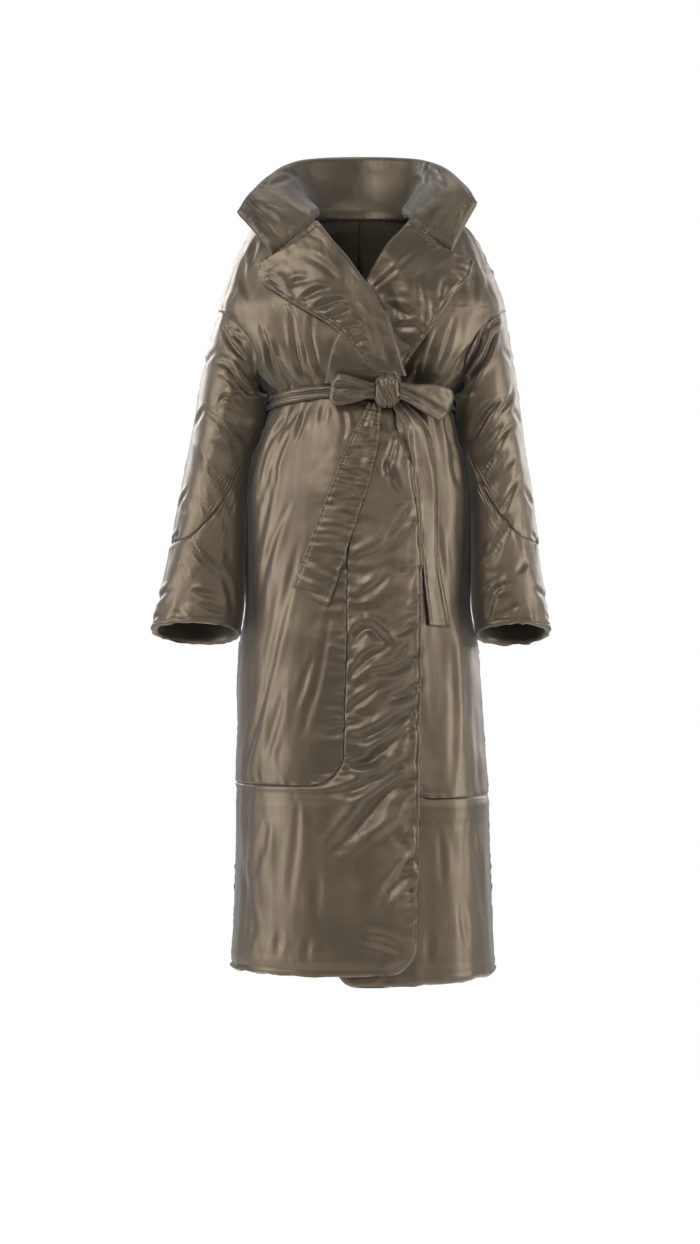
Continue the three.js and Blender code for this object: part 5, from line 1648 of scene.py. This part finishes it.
class Collar:
    """The wide collar, from the right notch (u = 0) round the back of the neck to the left notch (u = 1)."""

    LENGTH, WIDTH = 760.0, 118.0

    def _side_foot(self, side: Side, from_end: Array) -> Array:
        """The visible face's foot on one side, at distances from that side's notch."""
        lapel = LAPELS[side]
        get = lapel.rows.get
        one = np.ones_like(from_end)
        share = np.clip(1.0 - from_end / GORGE, 0.0, 1.0)
        gorge = lapel.face(one, share, one * (LAPEL_WALL - 2.0))
        tip = np.array([get("edge_x", 1.0), get("edge_z", 1.0)])
        roll = np.array([get("roll_x", 1.0), get("roll_z", 1.0)])
        way = (roll - tip) / np.linalg.norm(roll - tip)
        apart = np.array([side.value * abs(way[1]), 0.0, abs(way[0])])
        gorge = gorge + apart * (0.4 + NOTCH_OPEN * share ** 4)[:, None]

        edge = RIGHT_EDGE if side is Side.RIGHT else LEFT_EDGE
        over = smooth((from_end - GORGE) / (ROLL - GORGE))
        run = (from_end - GORGE) / (ROLL - GORGE)
        z = mix(roll[1], NECKLINE, np.clip(run, 0.0, 1.0))
        theta, level = FORM.on_front(edge.get("x", z), z)
        top_theta, top_level = FORM.on_front(edge.get("x", np.float64(NECKLINE)), np.float64(NECKLINE))
        beyond = from_end > ROLL
        share = (from_end - ROLL) / (0.5 - ROLL)
        theta = np.where(beyond, mix(top_theta, side.value * 180.0, share), theta)
        level = np.where(beyond, top_level, level)
        point = FORM.point(theta, level)
        out = FORM.normal(theta, np.minimum(level, NECKLINE - 1.6))
        inwards = np.stack([-point[:, 0], -point[:, 1], np.full(len(point), 2.0)], axis=-1)
        inwards = unit(inwards - out * np.sum(inwards * out, axis=-1, keepdims=True))
        way = unit(mix(out, inwards, over[:, None]))
        ring = point + way * (mix(ON_PANEL, 1.5, over) + COLLAR_SEWN_WALL)[:, None]
        level_in = unit(point * np.array([-1.0, -1.0, 0.0]))
        ring = ring + over[:, None] * (5.5 * level_in + np.array([0.0, 0.0, -7.0]))
        return np.where((from_end <= GORGE)[:, None], gorge, ring)

    def foot(self, u: Array) -> Array:
        """The visible face's foot."""
        right = self._side_foot(Side.RIGHT, np.minimum(u, 0.5))
        left = self._side_foot(Side.LEFT, np.minimum(1.0 - u, 0.5))
        return np.where((u < 0.5)[:, None], right, left)

    def build(self, panels: Panels, folds: Sequence[Crease]) -> bpy.types.Object:
        """Makes the collar with both of its faces padded.

        Args:
            panels: what makes the walls.
            folds: its creases as seen from the front.

        Returns:
            The collar.
        """
        u = graded(self.LENGTH, 1.6, 3.0, True, True, 10.0)
        v = graded(self.WIDTH, 1.5, 3.0, True, True, 10.0)
        foot = evened(self.foot(u), 0, 3)
        edge = np.stack([COLLAR_EDGE.get(axis, u) for axis in "xyz"], axis=-1)
        standing = smooth((np.minimum(u, 1.0 - u) - GORGE) / (ROLL - GORGE))
        belly = COLLAR_BELLY * standing[:, None] * 4.0 * v * (1.0 - v)
        points = mix(foot[:, None], edge[:, None], v[None, :, None])
        points = points + belly[..., None] * np.array([0.0, 1.0, -0.5])
        normals = normals_of(points)
        for _ in range(8):
            normals[1:-1] = unit(normals[:-2] + 2.0 * normals[1:-1] + normals[2:])
        reach = spans(points, False)
        rumple = Rumple(71)
        s, r = np.meshgrid(u * self.LENGTH, v * self.WIDTH, indexing="ij")

        def face(seed: float, extra: Array) -> Array:
            """One face's height over the middle of the collar."""
            height = COLLAR_WALL / 2.0 + 3.0 + 2.4 * rumple.noise(s / 75.0 + seed, r / 55.0) + extra
            height = height - 0.5 * rumple.folds(s / 46.0 + seed, (r + 0.5 * s) / 60.0) ** 4
            for distance, run in ((reach[0], r), (reach[1], r), (reach[3], s)):
                height = height - (height - 0.3) * quarter(distance, 8.0)
                near = np.exp(-distance / 13.0) * smooth(distance / 4.0)
                uneven = 0.3 + smooth(0.4 + 1.4 * rumple.noise(run / 60.0 + seed, distance * 0.0 + 31.0))
                height = height + 1.9 * near * uneven * rumple.noise(run / 8.5 + seed, distance / 60.0)
            low = 2.5 + 1.4 * np.exp(-reach[2] / 18.0) * rumple.noise(s / 9.0, r / 60.0 + seed)
            return mix(low, height, smooth(reach[2] / 14.0) ** 0.5)

        middle = points - normals * (COLLAR_WALL / 2.0)
        outer = middle + normals * face(0.0, total_height(folds, points[..., 0], points[..., 2]))[..., None]
        inner = middle - normals * face(40.0, np.zeros_like(s))[..., None]
        uvs = np.stack([s, r], axis=-1) * MM
        return close_wall("collar", outer, inner, uvs, False, (panels.cloth, panels.cloth), step=1)


BELT_HALF_HEIGHT = 12.0
BELT_THICK = 5.0
BELT_REST = 1.1
BELT_SWELL = 3.0
BELT_FACE = 9.15
STITCH_INSET = 4.5
STITCH_WIDTH = 1.1
TAIL_HEADER = "t left_x left_z right_x right_z"


@dataclass(frozen=True)
class Tail:
    """One end of the belt: its two long edges as seen from the front, its real size, and its cloth.

    puckers is how much the cloth is crumpled, and fold how deep the fold along it is.
    """

    rows: Table
    length: float
    width: float
    puckers: float
    fold: float


TAILS = {
    Side.RIGHT: Tail(Table(TAIL_HEADER, """
        0 12 -281 30 -284, 0.22 -10 -325 27 -330, 0.45 -34 -382 14 -390, 0.72 -64 -460 -11 -468,
        1 -97 -550 -46 -577
    """), 305.0, 55.0, 1.1, 0.0),
    Side.LEFT: Tail(Table(TAIL_HEADER, """
        0 42 -279 62 -278, 0.2 66 -335 109 -330, 0.45 83 -410 118 -405, 0.72 92 -500 121 -500,
        1 104 -604 134 -606
    """), 340.0, 36.0, 0.4, 1.8),
}


@dataclass(frozen=True)
class Loop:
    """One loop of the bow: length, half width at the knot and at the end, droop, and how far it leans back.

    slant is how much longer its upper edge is than its middle, as a share. crease is where its deep fold
    starts at the knot and ends at the far end, each from -1 at the lower edge to 1 at the upper one.
    """

    length: float
    near_half: float
    far_half: float
    droop: float
    back: float
    slant: float
    crease: tuple[float, float]


LOOPS = {
    Side.RIGHT: Loop(65.0, 11.0, 23.0, -2.0, 0.0, -0.06, (0.1, 0.25)),
    Side.LEFT: Loop(76.0, 12.0, 26.0, 22.0, 34.0, 0.12, (0.3, -0.55)),
}


class Belt:
    """The belt: drawn tight round the waist, knotted in a bow, with two hanging ends."""

    KNOT_X, KNOT_Z = 36.0, -266.0
    KNOT_HALF_WIDTH, KNOT_HALF_HEIGHT, KNOT_THICK = 20.0, 25.0, 24.0

    def __init__(self, cloth: bpy.types.Material) -> None:
        """Keeps the cloth that every piece of it is made of."""
        self.cloth = cloth
        self.rumple = Rumple(81)
        theta, level = FORM.on_front(self.KNOT_X, self.KNOT_Z)
        normal = FORM.normal(theta, level)
        self.centre = FORM.point(theta, level) + normal * (BELT_FACE + self.KNOT_THICK / 2.0)

    def band(self) -> bpy.types.Object:
        """The part round the waist, crumpled into a few lengthwise folds."""
        theta = np.linspace(0.0, 360.0, 421)
        up = np.linspace(-1.0, 1.0, 29)
        t, v = np.meshgrid(theta, up, indexing="ij")
        wander = 0.22 * np.sin(np.radians(2.0 * t + 40.0)) + 0.16 * np.sin(np.radians(5.0 * t))
        wander = wander + 0.12 * self.rumple.noise(t / 14.0, v * 0.4)
        uneven = 1.2 * np.sin(np.radians(3.0 * t)) + 0.9 * np.sin(np.radians(7.0 * t))
        level = BELT_LEVEL + v * (BELT_HALF_HEIGHT + uneven)
        full = np.sqrt(np.maximum(0.0, 1.0 - np.abs(v) ** 3.2))
        split = 0.55 + 0.45 * np.sin(np.radians(4.0 * t + 20.0)) ** 2
        folds = (bell((v - wander) / 0.13) + split * bell((v - wander - 0.52) / 0.11)
                 + (1.25 - split) * bell((v - wander + 0.5) / 0.11))
        fine = self.rumple.noise(t / 3.2 + v * 1.5, v * 2.4) + 0.6 * self.rumple.noise(t / 1.5, v * 4.0 + 5.0)
        rest = BELT_REST + BELT_SWELL * v * v
        out = rest + 1.2 + (BELT_THICK + 1.8) * full - 2.6 * folds * full + 0.55 * fine * full
        base, way = FORM.point(t, level), FORM.normal(t, level)
        outer = base + way * np.maximum(out, rest + 0.8)[..., None]
        inner = base + way * rest[..., None]
        uvs = np.stack([t * 2.3, v * 24.0], axis=-1) * MM
        return close_wall("belt_band", outer, inner, uvs, True, (self.cloth, self.cloth))

    def knot(self) -> bpy.types.Object:
        """The knot, wrapped over once, with folds that run over it."""
        around = np.linspace(0.0, 2.0 * math.pi, 121)[:-1]
        down = np.linspace(0.0, math.pi, 70)[1:-1]
        a, d = np.meshgrid(around, down, indexing="ij")
        x, y, z = np.cos(a) * np.sin(d), np.sin(a) * np.sin(d), np.cos(d)

        def square(value: Array) -> Array:
            """Squares a ball off a little."""
            return np.sign(value) * np.abs(value) ** 0.84

        lean = x * (1.15 - 0.25 * z) + 0.3 * z + 0.14 * np.sin(3.4 * z + 0.6)
        folds = sum(deep * bell((lean - middle) / wide) for middle, wide, deep in (
            (-0.66, 0.08, 0.7), (-0.36, 0.1, 1.25), (-0.12, 0.05, 0.5), (0.1, 0.09, 1.0), (0.36, 0.07, 0.7),
            (0.6, 0.1, 1.1)))
        bumps = 0.35 * self.rumple.noise(x * 3.0 + 5.0, z * 3.0)
        bumps = bumps + 0.2 * self.rumple.noise(x * 7.0, z * 5.0 + 3.0)
        waist = 1.0 - 0.16 * bell((z - 0.1) / 0.35) * np.abs(x) + 0.08 * z * np.abs(x)
        swell = 1.05 - 0.13 * folds + 0.16 * bumps
        points = np.stack([
            self.centre[0] + self.KNOT_HALF_WIDTH * square(x) * swell * waist,
            self.centre[1] + self.KNOT_THICK / 2.0 * square(y) * (swell - 0.06 * folds),
            self.centre[2] + self.KNOT_HALF_HEIGHT * square(z) * (0.5 + 0.5 * swell),
        ], axis=-1)
        count, rows = a.shape
        index = np.arange(count * rows).reshape(count, rows)
        faces = quads(index, True)[:, [0, 3, 2, 1]].tolist()
        faces.append(index[:, 0].tolist())
        faces.append(index[::-1, -1].tolist())
        uvs = np.stack([a * 20.0, d * 20.0], axis=-1).reshape(-1, 2) * MM
        return make_mesh("belt_knot", points.reshape(-1, 3), faces, uvs, (self.cloth,))

    def loop(self, side: Side) -> bpy.types.Object:
        """One loop of the bow: a band that runs out behind, turns, and comes back in front."""
        loop = LOOPS[side]
        radius, thick = 6.5, 3.0
        run = np.linspace(-1.0, 1.0, 121)
        across = np.linspace(0.0, 1.0, 33)
        c, j = np.meshgrid(across, run, indexing="ij")
        flat = loop.length - radius
        turn = np.radians(90.0 * np.clip(j / 0.3, -1.0, 1.0))
        reach = np.where(np.abs(j) > 0.3, flat * (1.0 - np.abs(j)) / 0.7, flat + radius * np.cos(turn))
        spread = (c * 2.0 - 1.0)
        reach = reach * (1.0 + loop.slant * spread - 0.1 * spread ** 4)
        share = reach / loop.length
        half = mix(loop.near_half, loop.far_half, smooth(share * 1.2))
        face = np.sin(turn)
        pleat = (1.0 - smooth(share * 1.15))
        ripple = (1.5 * pleat * np.cos(spread * 7.5 + 0.6 * side.value)
                  + 0.9 * self.rumple.noise(share * 3.2 + 3.0 * side.value, spread * 1.6 + 2.0 * np.sign(j))
                  + 0.5 * self.rumple.noise(share * 7.0, spread * 4.0 + 9.0))
        grow = radius * (1.0 + 0.35 * np.sin(np.clip(share, 0.0, 1.0) * math.pi) * (1.0 - 0.35 * spread ** 2))
        x = self.centre[0] + side.value * (self.KNOT_HALF_WIDTH - 2.0 + reach)
        z = self.centre[2] + spread * half - loop.droop * share
        z = z + 1.2 * self.rumple.noise(share * 4.0, j * 0.0 + 4.0)
        line = spread - mix(*loop.crease, np.clip(share, 0.0, 1.0))
        deep = bell(line / 0.13) - 0.4 * bell((line - 0.34) / 0.2)
        ripple = ripple - 4.2 * deep * np.sin(math.pi * np.clip(share * 0.96, 0.0, 1.0)) ** 0.6
        y = self.centre[1] + loop.back * share - grow * face - ripple * face
        outer = np.stack([x, y, z], axis=-1)
        way = np.stack([side.value * np.cos(turn), -np.sin(turn), np.zeros_like(turn)], axis=-1)
        rim = np.minimum(c, 1.0 - c) * 2.0 * half
        drop = thick * 0.45 * quarter(rim, 2.0) + 0.35 * bell((rim - STITCH_INSET) / STITCH_WIDTH)
        outer = outer - way * drop[..., None]
        inner = outer - way * (thick * (1.0 - 0.6 * quarter(rim, 2.0)))[..., None]
        uvs = np.stack([spread * half, j * loop.length], axis=-1) * MM
        name = f"belt_loop_{side.name.lower()}"
        return close_wall(name, outer, inner, uvs, False, (self.cloth, self.cloth), side is Side.RIGHT, 1)

    def tail(self, side: Side, ground: Ground) -> bpy.types.Object:
        """One hanging end, laid over the cloth below it."""
        tail = TAILS[side]
        along = np.linspace(0.0, 1.0, 181)
        across = np.linspace(0.0, 1.0, 33)
        s, r = np.meshgrid(across, along, indexing="ij")
        get = tail.rows.get
        bend = 1.3 * self.rumple.noise(r * 9.0 + 2.0 * side.value, s * 0.0)
        x = mix(get("left_x", r), get("right_x", r), s) + bend
        z = mix(get("left_z", r), get("right_z", r), s)
        theta, level = FORM.on_front(x, z)
        base, way = FORM.point(theta, level), FORM.normal(theta, level)
        under = ground.height(base, way, 0.0)
        under = soften(np.maximum(under, soften(under, 30)), 14)
        rest = mix(BELT_FACE - 4.0, under + 1.0, smooth(r * 4.0 - 0.1))
        rim = np.minimum(s, 1.0 - s) * mix(18.0, tail.width, smooth(r * 3.0))
        end = (1.0 - r) * tail.length
        edge = np.minimum(rim, end)
        cross = self.rumple.noise(r * tail.length / 17.0 + 0.3 * s, s * 1.2 + 3.0 * side.value)
        cross = cross + 0.6 * self.rumple.noise(r * tail.length / 8.0, s * 2.0 + 8.0)
        pleats = (1.0 - smooth(r * 3.4)) * np.cos((s - 0.5) * 15.0)
        curl = 1.6 * self.rumple.noise(r * 5.0 + 4.0, s * 1.1)
        pucker = self.rumple.noise(r * tail.length / 6.0 + 13.0, s * 0.8 + 4.0) * np.exp(-edge / 9.0)
        height = 3.6 + tail.puckers * (1.15 * cross + 2.2 * pucker) + 1.3 * pleats + curl
        height = height + 0.5 * np.exp(-edge / 7.0)
        height = height - tail.fold * bell((s - 0.8 + 0.05 * np.sin(r * 9.0)) / 0.05)
        height = height - 1.0 * bell((edge - STITCH_INSET) / STITCH_WIDTH)
        outer = base + way * (rest + height - 1.3 * quarter(edge, 2.2))[..., None]
        inner = base + way * (rest + np.maximum(0.0, height - 3.4) + 1.1 * quarter(edge, 2.2))[..., None]
        uvs = np.stack([s * tail.width, r * tail.length], axis=-1) * MM
        name = f"belt_tail_{side.name.lower()}"
        return close_wall(name, outer, inner, uvs, False, (self.cloth, self.cloth), True, 1)


class Folds:
    """The folds of the coat, as listed: gathers at the belt, and the creases of each panel."""

    LEAN_FROM = -325.0
    ARMPIT, WRIST = -245.0, -650.0
    CRUMPLES_FROM = -400.0

    def __init__(self) -> None:
        """Outlines the cloth that the lapels hide."""
        self.streaks = Rumple(91)
        self.hidden = {}
        t = np.linspace(0.0, 1.0, 24)
        for side, lapel in LAPELS.items():
            roll = np.stack([lapel.rows.get("roll_x", t), lapel.rows.get("roll_z", t)], axis=-1)
            edge = np.stack([lapel.rows.get("edge_x", t), lapel.rows.get("edge_z", t)], axis=-1)
            roll[:, 0] -= 14.0 * side.value
            self.hidden[side] = np.concatenate([roll, edge[::-1]])

    def body(self, points: Array, normals: Array) -> Array:
        """The height of the body's folds at points of its surface."""
        theta, level = self.place(points)
        x, z = points[..., 0], points[..., 2]
        front = smooth((-normals[..., 1] - 0.1) / 0.4)
        back = smooth((normals[..., 1] - 0.1) / 0.4)
        height = FORM.gather(theta, level) + 1.1 * self.streaks.noise(theta / 13.0, z / 230.0)
        height = height + 0.5 * self.streaks.noise(theta / 5.0 + 7.0, z / 120.0)
        height = height + front * (1.5 * total_height(BAND_FOLDS, x, z) + total_height(FRONT_FOLDS, x, z))
        height = height + front * self._crumpled(x, z)
        near_belt = np.abs(level - BELT_LEVEL)
        fine = 1.5 * smooth((near_belt - 12.0) / 8.0) * np.exp(-near_belt / 34.0)
        height = height + fine * self.streaks.noise(theta / 4.2 + 0.02 * level, level / 70.0)
        return height + back * total_height(BACK_FOLDS, x, z)

    def _crumpled(self, x: Array, z: Array) -> Array:
        """The crumples that rise to the wearer's left all the way down the front band."""
        band = smooth((x - RIGHT_SEAM.get("x", z) - 2.0) / 14.0)
        band = band * smooth((RIGHT_EDGE.get("x", z) - x - 2.0) / 12.0)
        band = band * smooth((self.CRUMPLES_FROM - z) / 150.0)
        wander = 0.5 * self.streaks.noise(x / 48.0 + 3.0, z / 48.0)
        over = (0.82 * z - 0.57 * x) / 30.0 + wander
        along = (0.82 * x + 0.57 * z) / 85.0
        sharp = self.streaks.folds(over * 0.8 + 7.0, along) ** 3
        return band * (2.2 * self.streaks.noise(over, along + 5.0) - 1.6 * sharp)

    def sleeve(self, side: Side) -> Callable[[Array, Array], Array]:
        """The height of one sleeve's folds, as a function of points and normals."""
        ahead = SLEEVE_FOLDS[side]
        behind = mirrored(SLEEVE_FOLDS[Side(-side.value)])

        def height(points: Array, normals: Array) -> Array:
            """The height at points of the sleeve."""
            x, y, z = np.moveaxis(points, -1, 0)
            front = smooth((-normals[..., 1] - 0.2) / 0.45)
            back = smooth((normals[..., 1] - 0.2) / 0.45)
            streaks = 0.9 * self.streaks.noise((x + 0.8 * y) / 26.0, z / 130.0 + 3.0 * side.value)
            outer = smooth((normals[..., 0] * side.value - 0.45) / 0.35)
            seen = 1.3 * (front * total_height(ahead, x, z) + back * total_height(behind, x, z))
            return streaks + seen + outer * total_height(SLEEVE_SIDE_FOLDS, y, z)

        return height

    @staticmethod
    def beside(points: Array) -> Array:
        """Where the sleeves and the body face each other, from 0 to 1."""
        x, y, z = np.moveaxis(points, -1, 0)
        total = np.zeros_like(x)
        for side, sleeve in SLEEVES.items():
            rows = sleeve.rows
            t = np.interp(-z, -rows.get("in_z", rows.keys), rows.keys)
            near = 1.0 - smooth((np.abs(x * side.value - rows.get("in_x", t) + 4.0) - 9.0) / 14.0)
            level = 1.0 - smooth((np.abs(y - rows.get("mid", t) + 12.0) - 30.0) / 50.0)
            near = near * level * smooth((Folds.ARMPIT - z) / 25.0)
            total = total + near * smooth((z - Folds.WRIST) / 30.0)
        return np.minimum(total, 1.0)

    @staticmethod
    def gap(points: Array) -> Array:
        """How far apart the body and a sleeve are at the height of each point."""
        x, z = points[..., 0], points[..., 2]
        apart = []
        for side, name in ((Side.RIGHT, "right"), (Side.LEFT, "left")):
            rows = SLEEVES[side].rows
            t = np.interp(-z, -rows.get("in_z", rows.keys), rows.keys)
            apart.append(rows.get("in_x", t) - BODY.get(name, z))
        return np.clip(np.where(x < 0.0, *apart), 0.0, 15.0)

    def against_sleeves(self, points: Array) -> Array:
        """How far the body's sides lean out to the sleeves."""
        return 0.5 * self.gap(points) * self.beside(points) * smooth((self.LEAN_FROM - points[..., 2]) / 30.0)

    def against_body(self, points: Array) -> Array:
        """How far the sleeves lean out to the body and the belt."""
        z = points[..., 2]
        share = 1.0 - 0.5 * smooth((self.LEAN_FROM - z) / 30.0)
        belt = BELT_FACE * np.exp(-((z - BELT_LEVEL) / 17.0) ** 4)
        return np.maximum(share * self.gap(points) - belt, 0.0) * self.beside(points)

    def cover(self, side: Side | None) -> Callable[[Array], Array]:
        """Where other cloth lies over a panel, as a function of its points.

        Args:
            side: the front's side, or None for the back and the sleeves.

        Returns:
            The function.
        """
        def squeezed(points: Array) -> Array:
            """Where a sleeve and the body press against each other."""
            return 0.94 * self.beside(points)

        def front(points: Array) -> Array:
            """The cover of the lapel and the sleeve, and of the right front on the left one."""
            x, y, z = np.moveaxis(points, -1, 0)
            ahead = np.where(y < 0.0, 1.0, 0.0)
            cover = inside(self.hidden[side], x, z, 9.0)
            if side is Side.LEFT:
                under = np.where(z > RIGHT_HEM - 6.0, smooth((RIGHT_EDGE.get("x", z) - 2.0 - x) / 10.0), 0.0)
                cover = np.maximum(cover, under)
            return np.maximum(cover * ahead, squeezed(points))

        return squeezed if side is None else front

    @staticmethod
    def place(points: Array) -> tuple[Array, Array]:
        """Theta and level of points on or near the body."""
        x, y, z = np.moveaxis(points, -1, 0)
        front = y < 0
        level = z.copy()
        theta = np.zeros_like(z)
        for _ in range(6):
            half = np.where(x > 0, BODY.get("left", level), BODY.get("right", level))
            deep = np.where(front, BODY.get("front", level), BODY.get("back", level))
            square = BODY.get("square", level)
            across = np.sign(x) * (np.abs(x) / half) ** (square / 2.0)
            along = -np.sign(y) * (np.abs(y) / deep) ** (square / 2.0)
            theta = np.degrees(np.arctan2(across, along))
            level = z - FORM.lift(level) * np.maximum(0.0, np.cos(np.radians(theta)))
        return theta, level


class Studio:
    """A pale floor, soft light and the camera."""

    FLOOR = -1.515
    FLOOR_SIZE = 3.4
    CAMERA = (-0.015, -5.0, -0.6)
    LENS = 96.46
    SENSOR = 36.0
    SOFT_LIGHT = 0.17
    LIGHTS = (
        ("key", (-1.9, -2.9, 1.7), (0.0, 0.0, -0.45), (1.3, 1.3), 94.0),
        ("fill", (2.3, -3.0, 0.5), (0.0, 0.0, -0.55), (1.6, 2.2), 28.0),
        ("side_left", (-2.3, -0.7, -0.2), (0.0, 0.0, -0.5), (1.0, 2.4), 60.0),
        ("side_right", (2.3, -0.6, -0.2), (0.0, 0.0, -0.5), (1.0, 2.4), 60.0),
        ("front", (0.6, -4.4, 0.7), (0.05, 0.0, -0.7), (0.7, 0.7), 20.0),
        ("top", (0.2, 0.3, 2.5), (0.0, 0.0, -0.4), (1.6, 1.6), 34.0),
        ("back_left", (-1.9, 2.3, 0.9), (0.0, 0.0, -0.5), (1.3, 1.8), 60.0),
        ("back_right", (2.1, 2.2, 0.2), (0.0, 0.0, -0.5), (1.3, 1.8), 40.0),
    )

    def build(self) -> None:
        """Adds the floor, the lights, the surroundings and the camera."""
        self._floor()
        for light in self.LIGHTS:
            self._light(*light)
        world = bpy.data.worlds.new("studio")
        world.use_nodes = True
        nodes, links = world.node_tree.nodes, world.node_tree.links
        soft, backdrop = nodes["Background"], nodes.new("ShaderNodeBackground")
        for ground, strength in ((soft, self.SOFT_LIGHT), (backdrop, 1.0)):
            ground.inputs["Color"].default_value = (1.0, 1.0, 1.0, 1.0)
            ground.inputs["Strength"].default_value = strength
        seen = nodes.new("ShaderNodeLightPath")
        either = nodes.new("ShaderNodeMixShader")
        links.new(seen.outputs["Is Camera Ray"], either.inputs["Fac"])
        links.new(soft.outputs["Background"], either.inputs[1])
        links.new(backdrop.outputs["Background"], either.inputs[2])
        links.new(either.outputs["Shader"], nodes["World Output"].inputs["Surface"])
        bpy.context.scene.world = world
        bpy.context.scene.view_settings.view_transform = "Standard"
        camera = bpy.data.cameras.new("camera")
        camera.sensor_width = self.SENSOR
        camera.lens = self.LENS
        eye = bpy.data.objects.new("camera", camera)
        eye.location = self.CAMERA
        eye.rotation_euler = (math.radians(90.0), 0.0, 0.0)
        bpy.context.collection.objects.link(eye)
        bpy.context.scene.camera = eye

    def _floor(self) -> None:
        """A plain pale floor."""
        bpy.ops.mesh.primitive_plane_add(size=self.FLOOR_SIZE, location=(0.0, 0.0, self.FLOOR))
        floor = bpy.context.object
        floor.name = "studio_floor"
        paint = bpy.data.materials.new("floor_paint")
        paint.use_nodes = True
        shader = paint.node_tree.nodes["Principled BSDF"]
        shader.inputs["Base Color"].default_value = (0.9, 0.9, 0.9, 1.0)
        shader.inputs["Roughness"].default_value = 0.9
        floor.data.materials.append(paint)
        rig.stage(floor)

    @staticmethod
    def _light(name: str, place: tuple, aim: tuple, size: tuple, power: float) -> None:
        """An oblong soft light that looks at a point."""
        lamp = bpy.data.lights.new(name, "AREA")
        lamp.shape = "RECTANGLE"
        lamp.size, lamp.size_y = size
        lamp.energy = power
        holder = bpy.data.objects.new(name, lamp)
        holder.location = place
        holder.rotation_euler = (Vector(aim) - Vector(place)).to_track_quat("-Z", "Y").to_euler()
        bpy.context.collection.objects.link(holder)


def main() -> None:
    """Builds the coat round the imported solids."""
    logging.basicConfig(level=logging.INFO, format="%(message)s")
    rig.load()
    cad_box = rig.bounds()
    bpy.ops.object.select_all(action="DESELECT")
    Studio().build()

    cloth = SatinCloth("shell_satin", (0.097, 0.074, 0.048), (0.073, 0.055, 0.036)).make()
    # The collar takes a darker copy of the shell satin: its darker colour is painted shade, and it is also rougher.
    painted_shade_satin = SatinCloth("collar_satin", (0.08, 0.062, 0.041), (0.062, 0.047, 0.03), roughness=0.48).make()
    lining = SatinCloth("lining_satin", (0.1, 0.079, 0.053), (0.08, 0.062, 0.041), wrinkle=0.15).make()
    folds = Folds()
    body, sleeves = CoatBody(), CoatSleeves()
    patches = body.back(Dress(folds.body, folds.cover(None), folds.against_sleeves))
    for side in Side:
        patches += body.front(side, Dress(folds.body, folds.cover(side), folds.against_sleeves))
        patches += sleeves.panels(side, Dress(folds.sleeve(side), folds.cover(None), folds.against_body))
    panels = Panels(cloth, lining)
    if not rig.quick():
        PaddingSim().run(patches, panels.heights)
    for patch in patches:
        piece = panels.build(patch)
        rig.ride(piece, BODY_NAME)
        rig.replaces(piece, patch.name)
        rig.slot(piece, "shell")
        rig.padded(piece, fill=0.5)

    graph = bpy.context.evaluated_depsgraph_get()
    fronts = ("right_front", "right_front_band", "left_front", "left_front_band")
    under = [panels.made[name] for name in fronts]
    ground = Ground(tuple(BVHTree.FromObject(piece, graph) for piece in under))
    soft = [Lapels().build(panels, ground, side, LAPEL_FOLDS[side]) for side in Side]
    soft.append(Collar().build(Panels(painted_shade_satin, painted_shade_satin), COLLAR_FOLDS))
    for piece in soft:
        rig.ride(piece, BODY_NAME)
        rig.replaces(piece, piece.name.split(".")[0])
        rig.slot(piece, "shell")
        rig.padded(piece, fill=0.5)
    belt = Belt(cloth)
    strips = [belt.band(), belt.knot()]
    strips += [belt.loop(side) for side in Side] + [belt.tail(side, ground) for side in Side]
    for piece in strips:
        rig.ride(piece, BODY_NAME)
        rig.replaces(piece, piece.name.split(".")[0])
        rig.slot(piece, "belt")
        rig.padded(piece, fill=0.2)

    json.dump({"cad": [list(map(float, corner)) for corner in cad_box],
               "visual": [list(map(float, corner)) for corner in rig.bounds()]}, open(SIZE_FILE, "w"))


if __name__ == "__main__":
    main()
